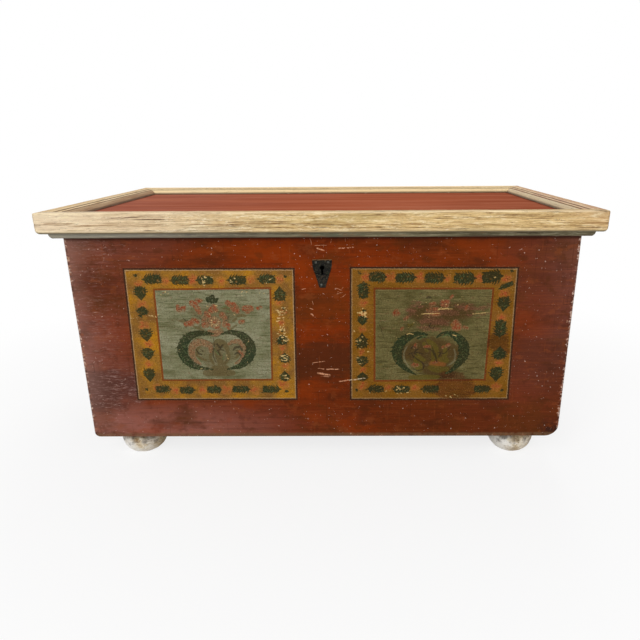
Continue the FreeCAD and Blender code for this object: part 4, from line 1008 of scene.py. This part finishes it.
            "cream": [(-28, 52, 0.8, -11, 53, 1.1, 15, 53, 0.6), (11, 63, 0.9, 28, 65, 1.3, 44, 64, 0.6),
                (91, 52, 0.6, 114, 54, 0.9, 133, 57, 0.5), (-59, 2, 0.9, -53, 4, 1.3, -44, 2, 0.6),
                (47, 1, 0.9, 56, -2, 1.3)],
            "wash": [(2, -73, 7, 16, -72, 9, 30, -74, 6), (50, 25, 8, 58, 17, 8), (5, -70, 7, 14, -66, 7),
                (21, -74, 7, 14, -77, 6)],
            "stain": [(38, -109, 16, 58, -121, 22, 76, -135, 24), (32, -139, 20, 58, -145, 24, 88, -139, 20),
                (46, -159, 8, 76, -157, 8), (156, -17, 22, 164, -35, 18),
                (-45, 74, 6.3, -35, 78, 6.9, -30, 71, 5.7), (-54, 59, 6.9, -44, 57, 6.3),
                (-60, 43, 4.4, -51, 50, 3.8), (-24, 33, 7.5, -4, 38, 9.4, 16, 34, 9.4, 33, 29, 6.9),
                (-18, 50, 5, 8, 55, 7.5, 35, 57, 7.5, 55, 53, 5.7), (20, 78, 5.7, 32, 79, 6.3),
                (57, 71, 6.3, 80, 67, 6.9, 106, 65, 5.7, 126, 70, 4.4), (81, 50, 4.4, 107, 51, 4.4, 130, 53, 2.5),
                (-30, 19, 4.4, -10, 15, 6.3, 17, 15, 4.4)],
            "shade": [(-49, -43, 26, 1, -45, 42, 51, -45, 24), (4, -73, 36, 36, -99, 26),
                (-49, 57, 16, 8, 49, 34, 76, 61, 22)],
        },
    },
}
paint = {
    "spacing": 1.2, "margin": 2.6, "proud": 0.16, "flecks": 260, "lift": 0.10, "sunk": 0.3, "bare": -4.0,
    "outline": (58, 34, 22), "thread": (182, 146, 100), "ochre": (146, 102, 34), "ochreDull": (122, 84, 36),
    "ochreBright": (170, 116, 20), "line": (114, 52, 20), "sage": (124, 124, 94), "sageDeep": (98, 100, 68),
    "sagePale": (146, 144, 116), "leaf": (30, 44, 24), "leafBrown": (44, 46, 24), "leafLight": (88, 100, 62),
    "coral": (164, 70, 40), "pink": (128, 86, 58), "pale": (136, 132, 106),
    "cream": (208, 176, 116), "olive": (92, 78, 46), "dark": (46, 38, 26), "stain": (98, 48, 20),
    "layers": ["shade", "leaf", "leafLight", "coral", "wash", "pink", "pale", "cream", "olive", "line", "stain"],
}


def smoothLine(points, steps=6):
    # A Catmull-Rom curve through points of x, z and radius
    p = np.array(points, float)
    p = np.concatenate([2 * p[:1] - p[1:2], p, 2 * p[-1:] - p[-2:-1]])
    t = (np.arange(steps) / steps)[None, :, None]
    a, b, c, d = (p[k:len(p) - 3 + k, None, :] for k in range(4))
    curve = 2 * b + (c - a) * t + (2 * a - 5 * b + 4 * c - d) * t ** 2 + (3 * b - a - 3 * c + d) * t ** 3
    return np.concatenate([0.5 * curve.reshape(-1, 3), p[-2:-1]])


def edgeWay(points, steps):
    # The curve through the points, and its direction at each place
    line = smoothLine(points, steps)
    way = np.gradient(line[:, :2], axis=0)
    return line, way / np.hypot(*way.T)[:, None]


def stroke(sheet, layer, *points, steps=6):
    # Each grid point keeps the largest of radius minus distance to the stroke's line, in millimetres
    line = smoothLine(points, steps) if len(points) > 2 else np.array(points, float)
    reach = line[:, 2].max() + 4
    i0, i1 = np.searchsorted(sheet["z"], [line[:, 1].min() - reach, line[:, 1].max() + reach])
    j0, j1 = np.searchsorted(sheet["x"], [line[:, 0].min() - reach, line[:, 0].max() + reach])
    if i1 <= i0 or j1 <= j0:
        return
    x, z = (axis[..., None] for axis in np.meshgrid(sheet["x"][j0:j1], sheet["z"][i0:i1]))
    a, step = line[:-1], line[1:] - line[:-1]
    length = np.maximum((step[:, :2] ** 2).sum(1), 1e-9)
    t = np.clip(((x - a[:, 0]) * step[:, 0] + (z - a[:, 1]) * step[:, 1]) / length, 0, 1)
    away = np.hypot(x - a[:, 0] - t * step[:, 0], z - a[:, 1] - t * step[:, 1])
    part = sheet[layer][i0:i1, j0:j1]
    np.maximum(part, (a[:, 2] + t * step[:, 2] - away).max(-1), out=part)


def leaf(sheet, draw, x, z, degrees, length, width):
    # A full blade to the tip with short teeth swept back, and a few light veins on some of them
    c, s = np.cos(np.radians(degrees)), np.sin(np.radians(degrees))

    def put(along, aside, radius):
        # A point given in shares of the leaf's length and width
        u, v = along * length, aside * width
        return x + u * c - v * s, z + u * s + v * c, radius * width

    body = [(-0.36, 0.28), (-0.12, 0.36), (0.12, 0.33), (0.34, 0.18), (0.57, 0.01)]
    teeth, spread, top = 6, 0.135, 0.36
    if length < 1.25 * width:
        body = [(-0.26, 0.30), (-0.05, 0.33), (0.16, 0.25), (0.34, 0.13), (0.54, 0.01)]
        teeth, spread, top = 3, 0.17, 0.14
    stroke(sheet, "leaf", *[put(along, 0, radius) for along, radius in body])
    light = draw.uniform() < 0.8
    for side in (-1, 1):
        stroke(sheet, "leaf", put(body[0][0], side * 0.22, 0.14), put(body[1][0], side * 0.24, 0.15),
               put(body[2][0], side * 0.16, 0.14))
        for tooth in range(teeth):
            root = top - spread * tooth + draw.uniform(-0.02, 0.02)
            reach = side * (0.46 + 0.07 * np.sin(tooth * 0.8 + 0.4)) * draw.uniform(0.88, 1.10)
            back = root - draw.uniform(0.09, 0.15)
            stroke(sheet, "leaf", put(root, side * 0.22, 0.09), put(back, reach, 0.028))
            if light and draw.uniform() < 0.75:
                near, far = draw.uniform(0.1, 0.3), draw.uniform(0.6, 0.95)
                layer = "leafLight" if draw.uniform() < 0.7 else "pale"
                stroke(sheet, layer, put(root - 0.02, reach * near, 0.026), put(back + 0.02, reach * far, 0.012))
    for aside in (-0.34, -0.17, 0.0, 0.17, 0.34):
        stroke(sheet, "leaf", put(-0.34, aside * 0.8, 0.11),
               put(-0.52 + draw.uniform(-0.05, 0.05), aside * draw.uniform(0.9, 1.2), 0.03))
    for fleck in range(draw.integers(0, 4)):
        u, v = draw.uniform(-0.35, 0.3), draw.uniform(-0.3, 0.3)
        end = put(u + draw.uniform(0.03, 0.1), v + draw.uniform(-0.08, 0.08), 0.012)
        stroke(sheet, "pale", put(u, v, 0.026), end)


def blossom(sheet, draw, x, z, size, degrees):
    # Uneven petals about a middle, in a paler wash, with a few dark dots
    size *= 1.3
    for petal in range(5):
        angle = np.radians(degrees + 72 * petal + draw.uniform(-24, 24))
        reach = size * draw.uniform(0.22, 0.42)
        tip = (x + reach * np.cos(angle), z + reach * np.sin(angle) * 0.9)
        stroke(sheet, "wash", (x, z, size * 0.25), (*tip, size * draw.uniform(0.22, 0.34)))
        if draw.uniform() < 0.75:
            stroke(sheet, "coral", (x, z, size * 0.12), (*tip, size * draw.uniform(0.05, 0.17)))
    stroke(sheet, "coral", (x - size * 0.14, z - 1, size * 0.16), (x + size * 0.12, z + 1, size * 0.12))
    if draw.uniform() < 0.5:
        a, b = x + draw.normal() * size * 0.3, z + draw.normal() * size * 0.3
        stroke(sheet, "leaf", (a, b, 0.9), (a + draw.normal() * 2, b + draw.normal() * 2, 0.5))


def sprig(sheet, draw, x, z, size, degrees):
    # Three short leaves from one stalk
    for spread in (-42, 0, 42):
        angle = np.radians(degrees + spread + draw.uniform(-8, 8))
        stroke(sheet, "leaf", *[(x + size * far * np.cos(angle), z + size * far * np.sin(angle), size * half)
                                for far, half in ((0.0, 0.10), (0.3, 0.14), (0.55, 0.03))])


def garland(sheet, draw, points):
    # A swelling band of leaves: small teeth along both edges, light veins and flecks over it
    stroke(sheet, "leaf", *(points * (1, 1, 0.98)))
    line, way = edgeWay(points, 5)
    for (x, z, r), (u, v) in list(zip(line, way))[::2]:
        for side in (-1, 1):
            lean = draw.uniform(0.25, 0.7)
            nx, nz = -v * side, u * side

            def put(out, on, radius):
                return x + nx * r * out + u * r * on, z + nz * r * out + v * r * on, radius

            if draw.uniform() < 0.7:
                far = draw.uniform(1.0, 1.32)
                stroke(sheet, "leaf", put(0.6, 0, r * 0.26), put(far, lean, r * 0.07))
            for vein in range(2):
                if draw.uniform() < 0.5:
                    a, b, c = draw.uniform(0.05, 0.4), draw.uniform(0.6, 0.95), draw.uniform(-0.3, 0.4)
                    stroke(sheet, ("leafLight", "leafLight", "pale")[draw.integers(3)],
                           put(a, -c, draw.uniform(0.5, 1.1)), put(b, 0.5 - c, 0.3))
    for (x, z, r), (u, v) in list(zip(line, way))[1::3]:
        if draw.uniform() < 0.35:
            a, b = x + draw.normal() * r * 0.4, z + draw.normal() * r * 0.4
            stroke(sheet, "cream", (a, b, 0.5), (a + draw.normal() * 3, b + draw.normal() * 2, 0.1))


def scroll(sheet, points):
    # A pale line and a dark one along the edges of a scroll's band
    line, way = edgeWay(points, 4)
    for side, layer in ((1, "pale"), (-1, "line")):
        edge = np.stack([line[:, 0] - way[:, 1] * line[:, 2] * side, line[:, 1] + way[:, 0] * line[:, 2] * side,
                         0.5 + 0 * line[:, 2]], axis=1)
        stroke(sheet, layer, *edge, steps=1)


def rosette(sheet, x, z):
    # Pale rays round a coral heart, on pink
    for ray in range(12):
        c, s = np.cos(np.radians(30 * ray + 8)), np.sin(np.radians(30 * ray + 8))
        for layer, places in (("pale", ((5, 0.9), (9, 1.5), (14, 0.6))),
                              ("cream", ((6, 0.1), (9, 0.7), (11, 0.1)))):
            stroke(sheet, layer, *[(x + far * c, z + far * s, half) for far, half in places])
    stroke(sheet, "coral", (x - 11, z - 12, 1.2), (x, z - 16, 1.6), (x + 12, z - 11, 1.2))


def inside(sheet, four):
    # Distance in from the nearest side of a four-cornered outline, clockwise from the top left
    x, z = np.meshgrid(sheet["x"], sheet["z"])
    return np.minimum.reduce([((z0 - z) * (x1 - x0) + (x - x0) * (z1 - z0)) / np.hypot(x1 - x0, z1 - z0)
                              for (x0, z0), (x1, z1) in zip(four, four[1:] + four[:1])])


def paintedPanel(side, seed):
    # A paint film with its layers as fields: how far inside each stroke a place lies, in millimetres
    plan = panels[side]
    draw = np.random.default_rng(seed)
    corner = np.array(plan["outer"], float)
    low, high = corner.min(0) - paint["margin"], corner.max(0) + paint["margin"]
    sheet = {axis: np.linspace(a, b, int((b - a) / paint["spacing"]) + 1) for axis, a, b in zip("xz", low, high)}
    size = (len(sheet["z"]), len(sheet["x"]))
    for layer in paint["layers"]:
        sheet[layer] = np.full(size, paint["bare"])
    for motif, places in ((leaf, plan["leaves"]), (blossom, plan["blossoms"]), (sprig, plan["sprigs"])):
        for place in places:
            motif(sheet, draw, *place)
    for layer, strokes in plan["strokes"].items():
        for numbers in strokes:
            points = np.reshape(numbers, (-1, 3)) + (*plan["middle"], 0)
            if layer == "garland":
                garland(sheet, draw, points)
                continue
            full = points * (1, 1, plan["swell"].get(layer, 1.0))
            stroke(sheet, layer, *full)
            if layer == "coral":
                stroke(sheet, "pink", *(points * (1, 1, 1.9) + (1, -1, 0)))
            if layer == "pink" and len(points) > 2:
                scroll(sheet, full)
    if side == "left":
        rosette(sheet, -251, 370)
    for x, z, wide, high, count in plan["dabs"]:
        for dab in range(count):
            a, b = x + draw.normal() * wide * 0.6, z + draw.normal() * high * 0.6
            layer = "cream" if dab % 4 or wide > 20 else "coral"
            thick = 0.55 if wide > 20 else 1.0
            stroke(sheet, layer, (a, b, draw.uniform(0.4, 1.7) * thick),
                   (a + draw.normal() * 3.0, b + draw.normal() * 1.4, draw.uniform(0.2, 0.9) * thick))
    corner = np.array(plan["inner"], float)
    (a0, b0), (a1, b1) = corner.min(0) + 8, corner.max(0) - 8
    for fleck in range(paint["flecks"]):
        a, b = draw.uniform(a0, a1), draw.uniform(b0, b1)
        long, rise, thick = draw.exponential(5) + 1.5, draw.normal() * 0.5, draw.uniform(0.2, 0.75)
        layer = ("line", "pale", "olive", "line")[fleck % 4]
        stroke(sheet, layer, (a, b, thick), (a + long, b + rise, thick * 0.3))
    fields = {layer: sheet[layer] for layer in paint["layers"]}
    fields["edge"], fields["inner"] = inside(sheet, plan["outer"]), inside(sheet, plan["inner"])
    relief = sum(np.clip(sheet[layer] / 1.2, 0, 1) for layer in ("leaf", "leafLight", "coral", "pink")) * 0.5
    x, z = np.meshgrid(sheet["x"], sheet["z"])
    y = frontFace - paint["proud"] - paint["lift"] * np.clip(relief, 0, 1) * (fields["edge"] > 1)
    front = np.stack([x, y, z], axis=-1).reshape(-1, 3)
    index = np.arange(len(front)).reshape(size)
    rim = np.concatenate([index[0, :-1], index[:-1, -1], index[-1, :0:-1], index[:0:-1, 0]])
    back = front[rim] * (1, 0, 1) + (0, frontFace + paint["sunk"], 0)
    behind = len(front) + np.arange(len(rim))
    walls = np.stack([rim, behind, np.roll(behind, -1), np.roll(rim, -1)], axis=1)
    faces = gridFaces(index).tolist() + walls.tolist() + [behind[::-1].tolist()]
    for key, values in fields.items():
        fields[key] = np.concatenate([values.ravel(), np.full(len(rim), paint["bare"])])
    return piece("paintedPanel" + side.capitalize(), np.concatenate([front, back]), faces,
                 finishes["painting"], "chest", "red_painted_wood", [], fields, 1 + len(walls))


def paintingFinish(wire):
    # Film over film: outline, pale thread, ochre band, red line, sage field, then the strokes
    at = wire.place()
    across, depth, height = at.parts()
    colour, streaks, fibres, mottle = redColour(at)
    ragged = (at.cloud(620, 3.0, 0.6) - 0.5) * 2.4 + (at.cloud(190, 4.0, 0.7) - 0.5) * 3.0
    worn, patches, grit = at.cloud(150, 5.0, 0.7), at.cloud(17, 4.0, 0.6), at.cloud(330, 4.0, 0.7)
    blotch, streaky = at.streak((16, 16, 30), 4.0, 0.6), at.streak((24, 24, 300), 4.0, 0.65)
    wear = worn * 0.6 + fibres * 0.25 + patches * 0.3
    right = across.rise(-0.05, 0.05)
    edge, inner = wire.field("edge"), wire.field("inner")
    p = paint

    def cover(name, soft=0.35, shift=0.0):
        return (wire.field(name) + ragged - shift).rise(-soft, soft)

    inOutline, inBand = cover("edge", shift=4.0), cover("edge", shift=6.0)
    ochre = patches.coloured((0.40, p["ochreDull"]), (0.5, p["ochre"]), (0.60, p["ochreBright"])).coats(
        (right * 0.55, (132, 86, 12)),
        (right * patches.rise(0.42, 0.60) * 0.5, (110, 72, 14)),
        (fibres.rise(0.46, 0.34) * 0.35, (104, 70, 28)),
        (grit.rise(0.46, 0.36) * 0.45, (98, 68, 26)),
        (grit.rise(0.56, 0.68) * 0.35, (188, 144, 80)),
        (blotch.rise(0.50, 0.62) * 0.3, (118, 76, 34)))
    tint = patches * 0.35 + streaky * 0.35 + blotch * 0.3
    sage = tint.coloured((0.42, p["sageDeep"]), (0.5, p["sage"]), (0.60, p["sagePale"])).coats(
        (streaky.rise(0.56, 0.68) * worn.rise(0.42, 0.58) * 0.5, (164, 160, 130)),
        (streaky.rise(0.46, 0.36) * 0.6, (74, 72, 46)),
        (grit.rise(0.44, 0.34) * 0.55, (68, 66, 42)),
        (grit.rise(0.58, 0.70) * 0.35, (162, 160, 132)),
        (blotch.rise(0.44, 0.36) * 0.32, (84, 80, 50)),
        ((worn * 0.6 + blotch * 0.4).rise(0.55, 0.66) * 0.4, (96, 82, 50)))
    sage = (right * 0.95).over(sage, (226, 212, 178), "MULTIPLY")
    shade = (wire.field("shade") + (worn - 0.5) * 20 + (streaky - 0.5) * 12).rise(-10.0, 12.0)
    stain = (wire.field("stain") + (worn - 0.5) * 26 + (streaky - 0.5) * 30).rise(-2.0, 9.0)
    stainTone = (blotch * 0.5 + grit * 0.5).coloured((0.42, (58, 30, 12)), (0.58, p["stain"]))
    faded = grit.coloured((0.42, (92, 58, 40)), (0.58, (134, 88, 70)))
    pink = grit.coloured((0.4, (104, 74, 48)), (0.5, p["pink"]), (0.62, (150, 122, 88)))
    coral = grit.coloured((0.4, (134, 58, 30)), (0.5, p["coral"]), (0.62, (184, 104, 60)))
    leafTone = patches.coloured((0.4, p["leaf"]), (0.62, p["leafBrown"]))
    lost = (worn + (at.cloud(12, 3.0) - 0.5) * 0.5 + fibres * 0.12).rise(0.80, 0.84) * inOutline
    crackle = at.stretched(1, 1, 2.2).cells(95).rise(0.035, 0.0) * patches.rise(0.42, 0.62) * inOutline
    colour = colour.coats(
        ((edge + ragged * 0.35).rise(-0.5, 0.5), p["outline"]),
        (inOutline * (0.35 + worn * 0.8 - right * 0.1), p["thread"]),
        (inBand, ochre),
        ((wear + (at.cloud(7, 3.0) - 0.5) * 0.5).rise(0.66, 0.80) * inBand * 0.55, (118, 68, 34)),
        ((inner + ragged * 0.4).rise(-4.4, -3.6) * (0.65 + worn * 0.4), p["line"]),
        ((inner + ragged * 0.5).rise(0.2, 1.0), sage),
        (shade * cover("inner", shift=3.0) * (0.72 + right * 0.18), right.over((98, 88, 58), (76, 56, 26))),
        (cover("wash", 2.2) * (0.85 - worn * 0.9), (176, 104, 50)),
        (cover("olive", 1.0) * (1.0 - worn * 0.5), right.over(p["olive"], (96, 84, 30))),
        (cover("pale", 0.9) * (1.15 - worn - right * 0.25), p["pale"]),
        (stain * (0.30 + streaky * 0.7), height.rise(0.33, 0.35).over(stainTone, faded)),
        (cover("pink", 0.8) * worn.rise(0.66, 0.48) * 0.85, pink),
        (cover("coral", 1.3) * (worn * 0.6 + grit * 0.4).rise(0.60, 0.42) * 0.9,
         (cover("inner") * 0.75).over(coral, (124, 54, 30))),
        (cover("leaf") * worn.rise(0.72, 0.54) * 0.94,
         (grit.rise(0.54, 0.66) * 0.5).over(leafTone, (84, 90, 56))),
        (cover("leafLight") * worn.rise(0.66, 0.46) * 0.8, p["leafLight"]),
        (cover("line", 0.4) * 0.7, p["dark"]),
        (cover("cream", 0.3) * 0.85, p["cream"]),
        (lost * 0.7, p["cream"]),
        (crackle * 0.35, (56, 40, 26)),
        (grit.rise(0.47, 0.36) * 0.42, (42, 34, 18)),
        (grit.rise(0.57, 0.70) * 0.28, (196, 178, 130)))
    dim = right * (0.42 + (patches - 0.5) * 1.4) * cover("edge", shift=0.0)
    joints, pins = boardJoints(at)
    colour = dim.over(colour, (212, 204, 176), "MULTIPLY").coats(
        (scratch(at, redPaint["panelScratch"]) * 0.8, (214, 190, 156)),
        (joints * 0.6, (54, 34, 22)))
    high = fibres * 0.35 + streaks * 0.4 + worn * 0.35 - lost * 0.3 - crackle * 0.2 - joints * 0.6
    return colour, 0.55 + worn * 0.2, high


finishes["painting"] = finish("panelPainting", paintingFinish, Specular_IOR_Level=0.06)
for seed, side in enumerate(panels):
    paintedPanel(side, 101 + seed)
print("panels painted")

# Floor, light and camera
studio = {"floor": 9.0, "floorTone": (244, 244, 244), "floorGlow": 0.80, "sky": 0.46,
          "place": (0.0648, -1.4279, 0.7707), "tilt": 16.59, "yaw": 0.43, "roll": -0.36,
          "focalPixels": 520.0, "middle": (347.3, 296.1), "frame": 640, "sensor": 36.0}
plainWhite = (1, 1, 1, 1)


def seen(wire):
    # 1 where the camera or a glossy surface looks at it, 0 for the light that it gives
    camera, gloss = (wire.node("ShaderNodeLightPath", out=ray) for ray in ("Is Camera Ray", "Is Glossy Ray"))
    return camera | gloss


def show(wire, share, first, second, output):
    # Sends a mix of two shaders to the output
    both = wire.node("ShaderNodeMixShader", {0: share, 1: first, 2: second})
    wire.tree.links.new(both.socket, wire.tree.nodes.new(output).inputs["Surface"])


def floorPlane():
    shape = bpy.data.meshes.new("floor")
    half = studio["floor"]
    shape.from_pydata([(x * half, y * half, 0) for x, y in ((-1, -1), (1, -1), (1, 1), (-1, 1))], [], [range(4)])
    material = bpy.data.materials.new("paleFloor")
    material.use_nodes = True
    material.node_tree.nodes.clear()
    wire = Wire(material.node_tree)
    ground = wire.node("ShaderNodeBsdfDiffuse", {"Color": tone(studio["floorTone"])})
    glow = wire.node("ShaderNodeEmission", {"Color": plainWhite, "Strength": 1.0})
    across, depth, height = wire.place().parts()
    away = (across * across + (depth * 1.3) * (depth * 1.3)).rise(0.25, 3.0)
    share = studio["floorGlow"] + away * (1.0 - studio["floorGlow"])
    show(wire, seen(wire) * share, ground, glow, "ShaderNodeOutputMaterial")
    shape.materials.append(material)
    floor = bpy.data.objects.new("floor", shape)
    scene.collection.objects.link(floor)


def sky():
    world = scene.world = bpy.data.worlds.new("studio")
    world.use_nodes = True
    world.node_tree.nodes.clear()
    wire = Wire(world.node_tree)
    soft, white = (wire.node("ShaderNodeBackground", {"Color": plainWhite, "Strength": strength})
                   for strength in (studio["sky"], 1.0))
    show(wire, seen(wire), soft, white, "ShaderNodeOutputWorld")


def lamp(name, place, aim, size, power):
    light = bpy.data.lights.new(name, "AREA")
    light.shape, light.size, light.energy = "DISK", size, power
    made = bpy.data.objects.new(name, light)
    made.location = place
    made.rotation_mode = "QUATERNION"
    made.rotation_quaternion = (Vector(aim) - Vector(place)).to_track_quat("-Z", "Y")
    scene.collection.objects.link(made)


floorPlane()
sky()
lamp("windowLight", (-1.5, -3.2, 2.9), (0, 0, 0.3), 2.6, 80.0)
lamp("fillLight", (2.4, -2.8, 1.6), (0, 0, 0.3), 2.4, 26.0)
lamp("backLight", (0.6, 2.6, 2.8), (0, 0, 0.4), 2.4, 46.0)

camera = bpy.data.cameras.new("camera")
camera.sensor_width = studio["sensor"]
camera.lens = studio["focalPixels"] / studio["frame"] * studio["sensor"]
camera.shift_x = (studio["frame"] / 2 - studio["middle"][0]) / studio["frame"]
camera.shift_y = (studio["middle"][1] - studio["frame"] / 2) / studio["frame"]
viewer = bpy.data.objects.new("camera", camera)
viewer.matrix_world = (Matrix.Translation(studio["place"])
                       @ Matrix.Rotation(radians(studio["yaw"]), 4, "Z")
                       @ Matrix.Rotation(radians(90 - studio["tilt"]), 4, "X")
                       @ Matrix.Rotation(radians(studio["roll"]), 4, "Z"))
scene.collection.objects.link(viewer)
scene.camera = viewer
scene.view_settings.view_transform = "Standard"
